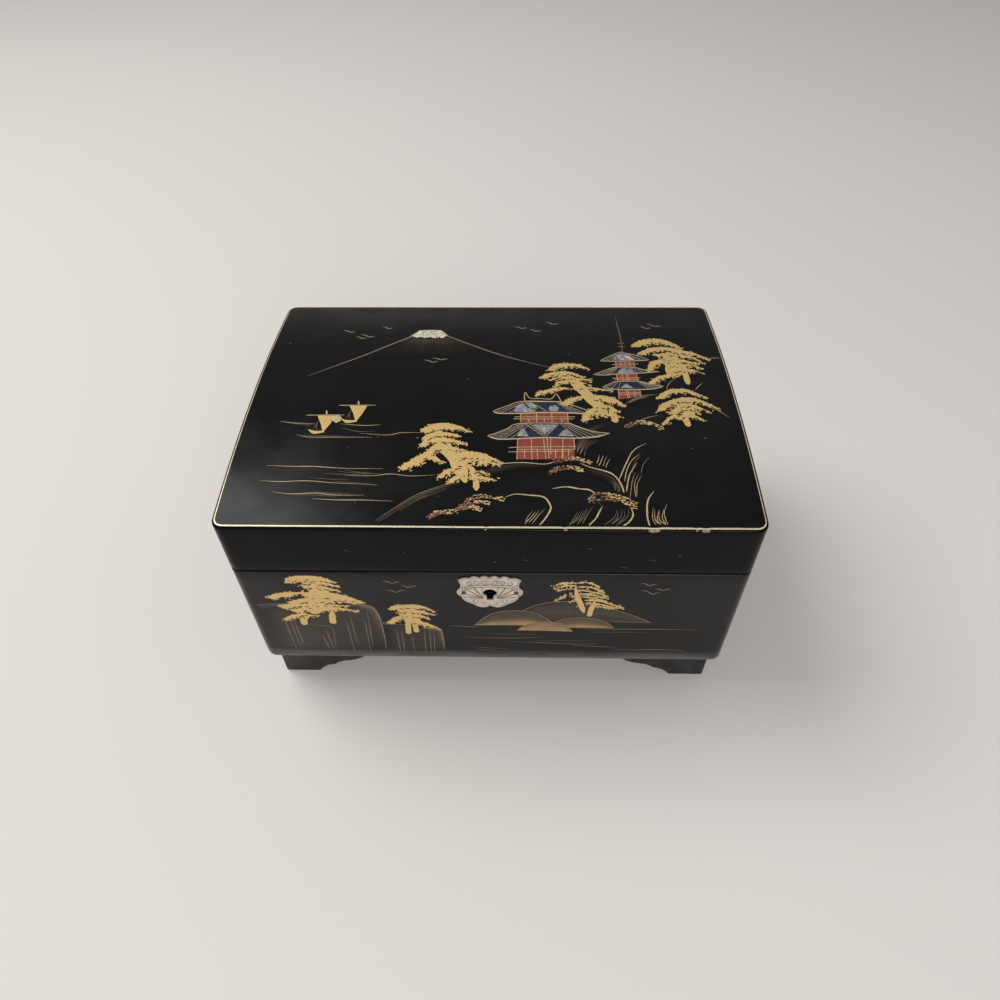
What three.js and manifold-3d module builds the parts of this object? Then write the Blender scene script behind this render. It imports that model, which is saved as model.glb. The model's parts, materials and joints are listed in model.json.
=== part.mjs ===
// A musical jewelry box: a lacquered wooden case on bracket feet, a hinged domed lid with a mirror,
// a small box lock, a velvet fitment, and a comb-and-cylinder movement wound by a key under the base.
// Millimetres, +Z up. The front faces -Y. The origin is on the floor, under the middle of the box.
import * as THREE from "three";
import { mergeVertices } from "three/addons/utils/BufferGeometryUtils.js";
import Module from "manifold-3d";

// Driving dimensions of the box
const WIDTH = 228;
const DEPTH = 161;
const WALL = 9;
const CORNER_RADIUS = 5;
const BOTTOM_ARRIS = 5;
const FOOT_HEIGHT = 20;
const CASE_HEIGHT = 73.6;
const SEAM = 0.4;
const LID_BOARD_HEIGHT = 22.7;
const LID_TOP_EDGE = 5.4;
const LID_CROWN = 5.2;
const BASE_BOARD = 5;
const GAP = 0.3;

// Heights and inner faces that follow from them
const RIM_Z = FOOT_HEIGHT + CASE_HEIGHT;
const LID_Z = RIM_Z + SEAM;
const LID_TOP_Z = LID_Z + LID_BOARD_HEIGHT + GAP;
const EDGE_Z = LID_TOP_Z + LID_TOP_EDGE;
const HALF_W = WIDTH / 2;
const HALF_D = DEPTH / 2;
const INNER_X = HALF_W - WALL;
const INNER_Y = HALF_D - WALL;
const FLOOR_Z = FOOT_HEIGHT + BASE_BOARD + GAP;

// Velvet-covered cards and the levels of the fitment
const CARD = 2;
const LIP = 3;
const LINER_X = INNER_X - GAP - CARD;
const LINER_Y = INNER_Y - GAP - CARD;
const FITMENT_X = LINER_X - GAP;
const FITMENT_Y = LINER_Y - GAP;
const REAR_DIVIDER_Y = 20;
const DIVIDER = 2.4;
const SHELF_Z = 62;
const MOVEMENT_WALL_X = 30.6;

// The back hinges
const HINGE_X = 70;
const HINGE_HALF = 13;
const KNUCKLE_HALF = 4.35;
const KNUCKLE_RADIUS = 1.8;
const HINGE_AXIS_Y = HALF_D + 2.2;
const HINGE_AXIS_Z = RIM_Z + SEAM / 2;

// The lock behind the keyhole
const KEYHOLE_Z = 80;
const KEYHOLE_RADIUS = 2.95;
const SLOT_HALF = 1.4;
const SLOT_BOTTOM = -5.2;
const LOCK_MIDDLE_Y = -74.65;
const LOCK_HALF_X = 13.7;
const LOCK_BOTTOM_Z = 66.3;
const ESCUTCHEON = 1;
const PIN_X = 11.65;
const PIN_Z = 80.6;
const PIN_PROUD = 2;

// The movement: its own frame has X along the cylinder and Z up from the underside of the bedplate
const MOVEMENT = new THREE.Vector3(65.5, 45, FLOOR_Z);
const BARREL_X = -14;
const AXIS_Z = 15;
const BEDPLATE = 2.5;
const CYLINDER_LENGTH = 20;
const CYLINDER_RADIUS = 6.5;
const PIN_TALL = 0.8;
const TOOTH_COUNT = 18;
const CROWN_TEETH = 24;
const PINION_TEETH = 8;
const COARSE_MODULE = 0.75;
const FINE_MODULE = 0.5;
const WHEEL_TEETH = 32;
const WORM_WHEEL_TEETH = 24;
const GOVERNOR_Y = (FINE_MODULE * (WHEEL_TEETH + PINION_TEETH)) / 2;
const WORM_RADIUS = 1.2;
const FLY_X = 26.6;
const FLY_Y = GOVERNOR_Y - (FINE_MODULE * WORM_WHEEL_TEETH) / 2 - WORM_RADIUS;
const STOP_Y = 21;

const wasm = await Module();
wasm.setup();

// Solids
function solidOf(geometry) {
  const bare = geometry.clone();
  bare.deleteAttribute("normal");
  bare.deleteAttribute("uv");
  const merged = mergeVertices(bare, 1e-4);
  return new wasm.Manifold(
    new wasm.Mesh({
      numProp: 3,
      vertProperties: merged.attributes.position.array,
      triVerts: new Uint32Array(merged.index.array),
    }),
  );
}

function geometryOf(solid) {
  const mesh = solid.getMesh();
  return new THREE.BufferGeometry()
    .setAttribute("position", new THREE.BufferAttribute(mesh.vertProperties, 3))
    .setIndex(new THREE.BufferAttribute(mesh.triVerts, 1));
}

function join(...geometries) {
  return geometryOf(geometries.map(solidOf).reduce((a, b) => a.add(b)));
}

function cut(geometry, ...tools) {
  return geometryOf(tools.map(solidOf).reduce((a, b) => a.subtract(b), solidOf(geometry)));
}

function common(a, b) {
  return geometryOf(solidOf(a).intersect(solidOf(b)));
}

function block([x0, x1], [y0, y1], [z0, z1]) {
  return new THREE.BoxGeometry(x1 - x0, y1 - y0, z1 - z0).translate(
    (x0 + x1) / 2,
    (y0 + y1) / 2,
    (z0 + z1) / 2,
  );
}

// Round bars along an axis, from one end to the other, about the two remaining coordinates
function rodZ(radius, z0, z1, x = 0, y = 0, sides = 24) {
  const bar = new THREE.CylinderGeometry(radius, radius, z1 - z0, sides);
  return bar.rotateX(Math.PI / 2).translate(x, y, (z0 + z1) / 2);
}

function rodX(radius, x0, x1, y = 0, z = 0, sides = 24) {
  const bar = new THREE.CylinderGeometry(radius, radius, x1 - x0, sides);
  return bar.rotateZ(Math.PI / 2).translate((x0 + x1) / 2, y, z);
}

function rodY(radius, y0, y1, x = 0, z = 0, sides = 24) {
  const bar = new THREE.CylinderGeometry(radius, radius, y1 - y0, sides);
  return bar.translate(x, (y0 + y1) / 2, z);
}

// Extrusions: a shape drawn in the plane across the named axis
function prismZ(shape, z0, z1, curveSegments = 8) {
  const made = new THREE.ExtrudeGeometry(shape, { depth: z1 - z0, bevelEnabled: false, curveSegments });
  return made.translate(0, 0, z0);
}

function prismX(shape, x0, x1, curveSegments = 8) {
  const made = prismZ(shape, x0, x1, curveSegments);
  const turn = new THREE.Matrix4().makeBasis(
    new THREE.Vector3(0, 1, 0),
    new THREE.Vector3(0, 0, 1),
    new THREE.Vector3(1, 0, 0),
  );
  return made.applyMatrix4(turn);
}

function prismY(shape, y0, y1, curveSegments = 8) {
  const made = prismZ(shape, -y1, -y0, curveSegments);
  const turn = new THREE.Matrix4().makeBasis(
    new THREE.Vector3(1, 0, 0),
    new THREE.Vector3(0, 0, 1),
    new THREE.Vector3(0, -1, 0),
  );
  return made.applyMatrix4(turn);
}

function polygon(points) {
  return new THREE.Shape(points.map(([x, y]) => new THREE.Vector2(x, y)));
}

// Finishes
function finish(color, roughness, metalness = 0) {
  return new THREE.MeshStandardMaterial({ color, roughness, metalness });
}

const black_lacquer = finish(0x17181a, 0.25);
const satin_black = finish(0x1c1c1d, 0.6);
const velvet = finish(0x7a1220, 0.95);
const nickel = finish(0xc9c2b8, 0.35, 0.9);
const brass = finish(0xb98d3e, 0.35, 0.9);
const steel = finish(0x9a9da1, 0.35, 0.9);
const plastic = finish(0xe9e6dc, 0.45);
const clear_acrylic = finish(0xdde6e8, 0.1);
const silvered_glass = finish(0xc8d0d2, 0.05, 1);

function piece(name, geometry, material) {
  const made = new THREE.Mesh(geometry, material);
  made.name = name;
  return made;
}

function group(...children) {
  return new THREE.Group().add(...children);
}

// One level of a rounded rectangle, inset from the outside of the box
const CORNER_STEPS = 6;
function outline(inset) {
  const radius = CORNER_RADIUS - inset;
  const points = [];
  for (let corner = 0; corner < 4; corner++) {
    const sx = corner === 0 || corner === 3 ? 1 : -1;
    const sy = corner < 2 ? 1 : -1;
    for (let step = 0; step <= CORNER_STEPS; step++) {
      const angle = (corner + step / CORNER_STEPS) * (Math.PI / 2);
      points.push([
        sx * (HALF_W - CORNER_RADIUS) + radius * Math.cos(angle),
        sy * (HALF_D - CORNER_RADIUS) + radius * Math.sin(angle),
      ]);
    }
  }
  return points;
}

// A solid through a stack of outlines, each a height and an inset, closed by a fan at each end
function stacked(levels) {
  const rings = levels.map(([z, inset]) => outline(inset).map(([x, y]) => [x, y, z]));
  const count = rings[0].length;
  const positions = rings.flat(2);
  const index = [];
  for (let r = 0; r + 1 < rings.length; r++) {
    for (let i = 0; i < count; i++) {
      const a = r * count + i;
      const b = r * count + ((i + 1) % count);
      index.push(a, b, b + count, a, b + count, a + count);
    }
  }
  const last = (rings.length - 1) * count;
  for (let i = 1; i + 1 < count; i++) {
    index.push(0, i + 1, i);
    index.push(last, last + i, last + i + 1);
  }
  return new THREE.BufferGeometry()
    .setAttribute("position", new THREE.Float32BufferAttribute(positions, 3))
    .setIndex(index);
}

// The region of one wall board, seen from above, bounded by the mitres at the corners
function mitreWedge(side, z0, z1) {
  const reach = HALF_W + 10;
  const offset = GAP / Math.SQRT2;
  const long = side === "front" || side === "back";
  const tip = HALF_W - HALF_D;
  const wedge = long
    ? [
        [-reach, -reach + tip - offset],
        [reach, -reach + tip - offset],
        [tip, -offset],
        [-tip, -offset],
      ]
    : [
        [tip + offset, 0],
        [reach + offset, -reach + tip],
        [reach + offset, reach - tip],
      ];
  const sign = side === "back" || side === "left" ? -1 : 1;
  return prismZ(polygon(wedge.map(([x, y]) => [x * sign, y * sign])), z0, z1);
}

function wallBoard(side, outer, z0, z1) {
  const hollow = block([-INNER_X, INNER_X], [-INNER_Y, INNER_Y], [z0 - 1, z1 + 1]);
  return common(cut(outer, hollow), mitreWedge(side, z0 - 1, z1 + 1));
}

function keyholeShape(radius, slotHalf, slotBottom) {
  const start = Math.asin(slotHalf / radius);
  const shape = new THREE.Shape();
  shape.absarc(0, 0, radius, -Math.PI / 2 + start, (3 * Math.PI) / 2 - start, false);
  shape.lineTo(-slotHalf, slotBottom);
  shape.lineTo(slotHalf, slotBottom);
  return shape;
}

function keyholeCut(y0, y1) {
  const shape = keyholeShape(KEYHOLE_RADIUS, SLOT_HALF, SLOT_BOTTOM);
  return prismY(shape, y0, y1, 24).translate(0, 0, KEYHOLE_Z);
}

// The pocket that one hinge leaf is let into, in the top or bottom edge of a back board
function leafPocket(x, z0, z1) {
  const reach = HINGE_HALF + GAP;
  return block([x - reach, x + reach], [HALF_D - 7.5, HALF_D + 1], [z0, z1]);
}

function caseBoards() {
  const arris = [0, 1, 2, 3, 4].map((step) => {
    const angle = (step / 4) * (Math.PI / 2);
    return [
      FOOT_HEIGHT + BOTTOM_ARRIS * (1 - Math.sin(angle)),
      BOTTOM_ARRIS * (1 - Math.cos(angle)),
    ];
  });
  const outer = stacked([...arris.reverse(), [RIM_Z, 0]]);
  const board = (side) => wallBoard(side, outer, FOOT_HEIGHT, RIM_Z);
  const mortise = block(
    [-LOCK_HALF_X - GAP, LOCK_HALF_X + GAP],
    [LOCK_MIDDLE_Y - 3.15, -INNER_Y + 1],
    [LOCK_BOTTOM_Z - GAP, RIM_Z + 1],
  );
  const pinHoles = [-PIN_X, PIN_X].map((x) => rodY(0.75, -HALF_D - 1, LOCK_MIDDLE_Y, x, PIN_Z, 12));
  const front = cut(board("front"), mortise, keyholeCut(-HALF_D - 1, LOCK_MIDDLE_Y), ...pinHoles);
  const pockets = [-HINGE_X, HINGE_X].map((x) => leafPocket(x, RIM_Z - 1.5, RIM_Z + 1));
  const bottom = cut(
    block([-INNER_X + GAP, INNER_X - GAP], [-INNER_Y + GAP, INNER_Y - GAP], [FOOT_HEIGHT, FLOOR_Z - GAP]),
    rodZ(4.5, FOOT_HEIGHT - 1, FLOOR_Z + 1, MOVEMENT.x + BARREL_X, MOVEMENT.y),
  );
  return group(
    piece("case_front", front, black_lacquer),
    piece("case_back", cut(board("back"), ...pockets), black_lacquer),
    piece("case_left", board("left"), black_lacquer),
    piece("case_right", board("right"), black_lacquer),
    piece("case_bottom", bottom, satin_black),
  );
}

// One arm of a bracket foot: a flat toe, a small step and a long ogee up to the case
const FOOT_SETBACK = 4.8;
const FOOT_THICK = 9.5;
const FOOT_LENGTH = 47;
function footArm() {
  const top = FOOT_HEIGHT - GAP;
  const arm = new THREE.Shape();
  arm.moveTo(0, 0);
  arm.lineTo(17.3, 0);
  arm.quadraticCurveTo(19.5, 4.2, 24, 5.8);
  arm.lineTo(26.5, 6.5);
  arm.quadraticCurveTo(28.5, 9.4, 34, 10.2);
  arm.quadraticCurveTo(42, 11.6, FOOT_LENGTH, top);
  arm.lineTo(0, top);
  return arm;
}

// The four feet are one bracket, drawn for the front left corner and mirrored for the others
function feet() {
  const x = HALF_W - FOOT_SETBACK;
  const y = HALF_D - FOOT_SETBACK;
  const along = prismY(footArm(), 0, FOOT_THICK, 4);
  const across = prismX(footArm(), 0, FOOT_THICK, 4);
  const bracket = solidOf(join(along, across));
  const foot = (name, sx, sy) => {
    const made = piece(name, geometryOf(bracket.scale([-sx, -sy, 1])), satin_black);
    made.position.set(sx * x, sy * y, 0);
    return made;
  };
  return group(
    foot("foot_front_left", -1, -1),
    foot("foot_front_right", 1, -1),
    foot("foot_back_left", -1, 1),
    foot("foot_back_right", 1, 1),
  );
}

// The arch of the lid top, seen from the side: a parabola from the front edge to the back edge
function archShape() {
  const arch = new THREE.Shape();
  arch.moveTo(-HALF_D - 1, LID_TOP_Z);
  arch.lineTo(HALF_D + 1, LID_TOP_Z);
  arch.lineTo(HALF_D, EDGE_Z);
  arch.quadraticCurveTo(0, EDGE_Z + 2 * LID_CROWN, -HALF_D, EDGE_Z);
  return arch;
}

const STRIKE_HALF = 9;
function lidBoards() {
  const top = LID_Z + LID_BOARD_HEIGHT;
  const outer = stacked([[LID_Z, 0], [top, 0]]);
  const board = (side) => wallBoard(side, outer, LID_Z, top);
  const pocket = block(
    [-STRIKE_HALF - GAP, STRIKE_HALF + GAP],
    [LOCK_MIDDLE_Y - 2.6, -INNER_Y + 1],
    [LID_Z - 1, LID_Z + 1.8],
  );
  const pockets = [-HINGE_X, HINGE_X].map((x) => leafPocket(x, LID_Z - 1, LID_Z + 1.5));
  const domed = common(
    stacked([[LID_TOP_Z, 0], [EDGE_Z + LID_CROWN + 1, 0]]),
    prismX(archShape(), -HALF_W - 1, HALF_W + 1, 24),
  );
  return group(
    piece("lid_front", cut(board("front"), pocket), black_lacquer),
    piece("lid_back", cut(board("back"), ...pockets), black_lacquer),
    piece("lid_left", board("left"), black_lacquer),
    piece("lid_right", board("right"), black_lacquer),
    piece("lid_top", domed, black_lacquer),
  );
}

const MIRROR = new THREE.Vector2(75, 48);
const MIRROR_GLASS = 1.9;
function lidLining() {
  const ceiling = LID_TOP_Z - GAP;
  const backing = ceiling - CARD;
  const rebate = backing - GAP - MIRROR_GLASS;
  const sheet = (halfX, halfY, z) => block([-halfX, halfX], [-halfY, halfY], z);
  const frame = cut(
    sheet(MIRROR.x + 7, MIRROR.y + 7, [rebate - 1.6, backing - GAP]),
    sheet(MIRROR.x - 4, MIRROR.y - 4, [rebate - 5, backing]),
    sheet(MIRROR.x + GAP, MIRROR.y + GAP, [rebate - GAP, backing]),
  );
  return group(
    piece("lid_lining", sheet(INNER_X - 2 * GAP, INNER_Y - 2 * GAP, [backing, ceiling]), velvet),
    piece("mirror", sheet(MIRROR.x, MIRROR.y, [rebate, backing - GAP]), silvered_glass),
    piece("mirror_frame", frame, black_lacquer),
  );
}

// A butt hinge: two leaves let into the boards, three knuckles and a pin. Its own frame has the
// pin on the X axis, with the case leaf below and the lid leaf above
const LEAF = 0.9;
const LEAF_BACK = HALF_D - 7.2 - HINGE_AXIS_Y;
function hinge(side, sign) {
  const knuckle = (x0, x1) => rodX(KNUCKLE_RADIUS, x0, x1, 0, 0, 16);
  const bore = rodX(0.95, -HINGE_HALF - 1, HINGE_HALF + 1, 0, 0, 16);
  const tab = (x0, x1, z) => block([x0, x1], [HALF_D - 0.3 - HINGE_AXIS_Y, -1.05], z);
  const plate = (z) => block([-HINGE_HALF, HINGE_HALF], [LEAF_BACK, HALF_D - 0.1 - HINGE_AXIS_Y], z);
  const low = [-SEAM / 2 - GAP - LEAF, -SEAM / 2 - GAP];
  const high = [SEAM / 2 + GAP, SEAM / 2 + GAP + LEAF];
  const outer = [
    [-HINGE_HALF, -KNUCKLE_HALF],
    [KNUCKLE_HALF, HINGE_HALF],
  ];
  const inner = [-KNUCKLE_HALF + GAP, KNUCKLE_HALF - GAP];
  const caseLeaf = cut(
    join(plate(low), ...outer.flatMap(([a, b]) => [tab(a, b, low), knuckle(a, b)])),
    bore,
  );
  const lidLeaf = cut(join(plate(high), tab(...inner, high), knuckle(...inner)), bore);
  const made = group(
    piece(`hinge_${side}_case_leaf`, caseLeaf, brass),
    piece(`hinge_${side}_lid_leaf`, lidLeaf, brass),
    piece(`hinge_${side}_pin`, rodX(0.65, -HINGE_HALF, HINGE_HALF, 0, 0, 12), brass),
  );
  made.position.set(sign * HINGE_X, HINGE_AXIS_Y, HINGE_AXIS_Z);
  return made;
}

// The escutcheon about the middle of its keyhole. Its right half runs from the middle of the
// scalloped top down to the notch at the foot, and the left half mirrors it
const PLATE_TOP = 11;
const SCALLOP_RISE = 2.3;
function escutcheonShape() {
  const scallops = [
    [4.4, 10.8],
    [9.0, 10.4],
    [13.9, 9.0],
  ];
  const sides = [
    [12.4, 6.2, 13.3, 3.2],
    [16.4, 0, 13.1, -2.4],
    [12.2, -6.4, 8.1, -8.2],
    [3.8, -12.8, 0, -9.5],
  ];
  const shape = new THREE.Shape();
  shape.moveTo(0, PLATE_TOP);
  let from = 0;
  for (const [x, z] of scallops) {
    shape.quadraticCurveTo((from + x) / 2, z + SCALLOP_RISE, x, z);
    from = x;
  }
  for (const curve of sides) shape.quadraticCurveTo(...curve);
  for (let i = sides.length - 1; i >= 0; i--) {
    const [x, z] = i ? sides[i - 1].slice(2) : scallops[2];
    shape.quadraticCurveTo(-sides[i][0], sides[i][1], -x, z);
  }
  for (let i = scallops.length - 1; i >= 0; i--) {
    const x = i ? scallops[i - 1][0] : 0;
    const z = i ? scallops[i - 1][1] : PLATE_TOP;
    shape.quadraticCurveTo(-(scallops[i][0] + x) / 2, scallops[i][1] + SCALLOP_RISE, -x, z);
  }
  return shape;
}

function escutcheon() {
  const back = -HALF_D - GAP;
  const face = back - ESCUTCHEON;
  const holes = [-PIN_X, PIN_X].map((x) => rodY(0.75, face - 1, back + 1, x, PIN_Z, 12));
  const plate = prismY(escutcheonShape(), face, back, 5).translate(0, 0, KEYHOLE_Z);
  const pin = (name, x) => {
    const profile = [
      [0, LOCK_MIDDLE_Y - 3.5],
      [0.45, LOCK_MIDDLE_Y - 3.5],
      [0.45, face],
      [1, face],
      [0.75, (face - HALF_D - PIN_PROUD) / 2],
      [0, -HALF_D - PIN_PROUD],
    ].map(([r, y]) => new THREE.Vector2(r, -y));
    const made = piece(name, new THREE.LatheGeometry(profile, 12).rotateX(Math.PI), brass);
    made.position.set(x, 0, PIN_Z);
    return made;
  };
  return group(
    piece("escutcheon", cut(plate, keyholeCut(face - 1, back + 1), ...holes), nickel),
    pin("escutcheon_pin_left", -PIN_X),
    pin("escutcheon_pin_right", PIN_X),
  );
}

// The lock: a pressed case let into the front board, a bolt that slides along X, and a strike
// on the lid whose prong hangs into the case and takes the nose of the bolt
const BOLT_HALF_Y = 0.8;
const PRONG_HALF_X = 0.6;
function lock() {
  const y = (half) => [LOCK_MIDDLE_Y - half, LOCK_MIDDLE_Y + half];
  const top = RIM_Z - GAP;
  const shell = cut(
    block([-LOCK_HALF_X, LOCK_HALF_X], y(2.85), [LOCK_BOTTOM_Z, top]),
    block([-LOCK_HALF_X + 1, LOCK_HALF_X - 1], y(2.05), [LOCK_BOTTOM_Z + 1, top - 1]),
    block([-1.3, 1.3], y(2.05), [top - 2, top + 1]),
    keyholeCut(LOCK_MIDDLE_Y - 4, LOCK_MIDDLE_Y),
  );
  const bolt = polygon([
    [-12, 84],
    [-9.4, 84],
    [-9.4, 86],
    [-7.2, 86],
    [-7.2, 84],
    [-4.5, 84],
    [-4.5, 88.1],
    [-1, 88.1],
    [-1, 89.9],
    [-4.5, 89.9],
    [-4.5, 91],
    [-12, 91],
  ]);
  const plate = block([-STRIKE_HALF, STRIKE_HALF], y(2.3), [LID_Z + GAP, LID_Z + 1.5]);
  const prong = block([-PRONG_HALF_X, PRONG_HALF_X], y(1.7), [86.4, LID_Z + 1]);
  const eye = block([-1, 1], y(1.1), [87.5, 90.5]);
  return group(
    piece("lock_case", shell, brass),
    piece("lock_bolt", prismY(bolt, ...y(BOLT_HALF_Y)), brass),
    piece("lock_strike", cut(join(plate, prong), eye), brass),
  );
}

// Velvet-covered cards round the walls, dividers, the shelf of ring rolls and the clear cover
function fitment() {
  const top = RIM_Z + LIP;
  const across = [-INNER_X + GAP, INNER_X - GAP];
  const between = [-LINER_Y + GAP, LINER_Y - GAP];
  const level = [FLOOR_Z, SHELF_Z - GAP];
  const rearWall = REAR_DIVIDER_Y + DIVIDER;
  const coverEdge = MOVEMENT_WALL_X + 1.4;
  const stopX = MOVEMENT.x + FLY_X;
  const notch = block([stopX - 1.8, stopX + 1.8], [MOVEMENT.y + STOP_Y - 2, INNER_Y], [SHELF_Z - 1, SHELF_Z + 3]);
  const cover = block([coverEdge, FITMENT_X], [REAR_DIVIDER_Y, FITMENT_Y], [SHELF_Z, SHELF_Z + 1.6]);
  const shelf = block(
    [-FITMENT_X, coverEdge - GAP],
    [REAR_DIVIDER_Y, FITMENT_Y],
    [SHELF_Z, SHELF_Z + CARD],
  );
  return group(
    piece("liner_front", block(across, [-LINER_Y - CARD, -LINER_Y], [FLOOR_Z, top]), velvet),
    piece("liner_back", block(across, [LINER_Y, LINER_Y + CARD], [FLOOR_Z, top]), velvet),
    piece("liner_left", block([-LINER_X - CARD, -LINER_X], between, [FLOOR_Z, top]), velvet),
    piece("liner_right", block([LINER_X, LINER_X + CARD], between, [FLOOR_Z, top]), velvet),
    piece(
      "floor_pad",
      block([-FITMENT_X, FITMENT_X], [-FITMENT_Y, REAR_DIVIDER_Y - GAP], [FLOOR_Z, FLOOR_Z + CARD]),
      velvet,
    ),
    piece("rear_divider", block([-FITMENT_X, FITMENT_X], [REAR_DIVIDER_Y, rearWall], level), velvet),
    piece(
      "movement_wall",
      block([MOVEMENT_WALL_X, MOVEMENT_WALL_X + DIVIDER], [rearWall + GAP, FITMENT_Y], level),
      velvet,
    ),
    piece(
      "front_divider",
      block([-31.2, -31.2 + DIVIDER], [-FITMENT_Y, REAR_DIVIDER_Y - GAP], [FLOOR_Z + CARD + GAP, 60]),
      velvet,
    ),
    piece("ring_shelf", shelf, velvet),
    piece("movement_cover", cut(cover, notch), clear_acrylic),
    ...ringRolls(coverEdge),
  );
}

// Four padded rolls, side by side, that grip a ring between each pair
const ROLL_COUNT = 4;
function ringRolls(coverEdge) {
  const pitch = (FITMENT_Y - REAR_DIVIDER_Y - 1) / ROLL_COUNT;
  const half = pitch / 2 - GAP;
  const roll = new THREE.Shape();
  roll.moveTo(-half, 0);
  roll.lineTo(half, 0);
  roll.lineTo(half, 5);
  roll.absarc(0, 5, half, 0, Math.PI, false);
  return Array.from({ length: ROLL_COUNT }, (_, i) => {
    const made = piece(`ring_roll_${i + 1}`, prismX(roll, -FITMENT_X + 1, coverEdge - 1.3, 10), velvet);
    made.position.set(0, REAR_DIVIDER_Y + 0.5 + (i + 0.5) * pitch, SHELF_Z + CARD + GAP);
    return made;
  });
}

// A gear outline about the origin, with straight-flanked teeth: the first is centred on angle start
function gearShape(teeth, pitchRadius, tip, root, halfTooth, start) {
  const points = [];
  for (let i = 0; i < teeth; i++) {
    const middle = start + (i * 2 * Math.PI) / teeth;
    const flank = (radius, half, side) => {
      const angle = middle + (side * half) / radius;
      points.push([radius * Math.cos(angle), radius * Math.sin(angle)]);
    };
    flank(pitchRadius - root, halfTooth * 1.25, -1);
    flank(pitchRadius + tip, halfTooth * 0.45, -1);
    flank(pitchRadius + tip, halfTooth * 0.45, 1);
    flank(pitchRadius - root, halfTooth * 1.25, 1);
  }
  return polygon(points);
}

// The bedplate with the comb's pedestal and the two bearing posts
function bedplate() {
  const post = (x, y1) => block([x - 0.85, x + 0.85], [-3, y1], [BEDPLATE - 0.5, AXIS_Z + 3]);
  const hole = (x, y) => rodX(1.2, x - 2, x + 2, y, AXIS_Z, 16);
  const screwHoles = [4, 16].map((x) => rodZ(1.1, 8, 20, x, -16.6, 12));
  const body = join(
    block([-25.5, 32], [-19.5, 18], [0, BEDPLATE]),
    block([0, CYLINDER_LENGTH], [-19.5, -14], [BEDPLATE - 0.5, AXIS_Z - 0.9]),
    post(-1.7, 3),
    post(22, 13),
  );
  const tools = [rodZ(2.8, -1, BEDPLATE + 1, BARREL_X), hole(-1.7, 0), hole(22, 0), hole(22, GOVERNOR_Y)];
  return piece("bedplate", cut(body, ...tools, ...screwHoles), brass);
}

// The spring drum: a cup, open below, with a crown of teeth on its rim
const DRUM_RADIUS = 10.5;
const DRUM_TOP = 11.1;
const CROWN_PITCH = (COARSE_MODULE * CROWN_TEETH) / 2;
function barrel() {
  const drum = cut(
    rodZ(DRUM_RADIUS, BEDPLATE + 0.6, DRUM_TOP, 0, 0, 48),
    rodZ(DRUM_RADIUS - 0.9, 0, DRUM_TOP - 1, 0, 0, 48),
    rodZ(1.5, 0, DRUM_TOP + 1, 0, 0, 16),
  );
  const tooth = polygon([
    [-0.55, DRUM_TOP - 0.2],
    [0.55, DRUM_TOP - 0.2],
    [0.3, DRUM_TOP + 1.5],
    [-0.3, DRUM_TOP + 1.5],
  ]);
  const teeth = Array.from({ length: CROWN_TEETH }, (_, i) => {
    const angle = ((i + 0.5) * 2 * Math.PI) / CROWN_TEETH;
    return prismX(tooth, CROWN_PITCH - 0.9, CROWN_PITCH + 0.9).rotateZ(angle);
  });
  const made = piece("barrel", join(drum, ...teeth), brass);
  made.position.x = BARREL_X;
  return made;
}

// The mainspring: a flat strip wound in a spiral from the arbor to the wall of the drum
function mainspring() {
  const turns = 5;
  const steps = turns * 18;
  const strip = 0.35;
  const inner = 2.9;
  const outer = DRUM_RADIUS - 0.9 - GAP - strip;
  const at = (step, offset) => {
    const angle = (step / 18) * 2 * Math.PI;
    const radius = inner + ((outer - inner) * step) / steps + offset;
    return [radius * Math.cos(angle), radius * Math.sin(angle)];
  };
  const inside = Array.from({ length: steps + 1 }, (_, i) => at(i, 0));
  const outside = Array.from({ length: steps + 1 }, (_, i) => at(steps - i, strip));
  const made = piece("mainspring", prismZ(polygon([...inside, ...outside]), 3.8, DRUM_TOP - 1.5), steel);
  made.position.x = BARREL_X;
  return made;
}

// The arbor runs from the drum through the base; the winding key screws onto its lower end
function winder() {
  const arbor = join(rodZ(2.2, -12.6, 9.4), rodZ(1.2, 9, DRUM_TOP, 0, 0, 16));
  const lobe = (x) => rodY(4.6, -0.9, 0.9, x, -16.4, 20);
  const eye = (x) => rodY(2.2, -2, 2, x, -16.4, 16);
  const key = cut(
    join(rodZ(3.4, -14.2, -6.4), block([-6.5, 6.5], [-0.9, 0.9], [-19.4, -13]), lobe(-6.5), lobe(6.5)),
    rodZ(2.5, -12.9, -5),
    eye(-6.7),
    eye(6.7),
  );
  const made = group(piece("winding_arbor", arbor, steel), piece("winding_key", key, brass));
  made.position.x = BARREL_X;
  return made;
}

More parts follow.
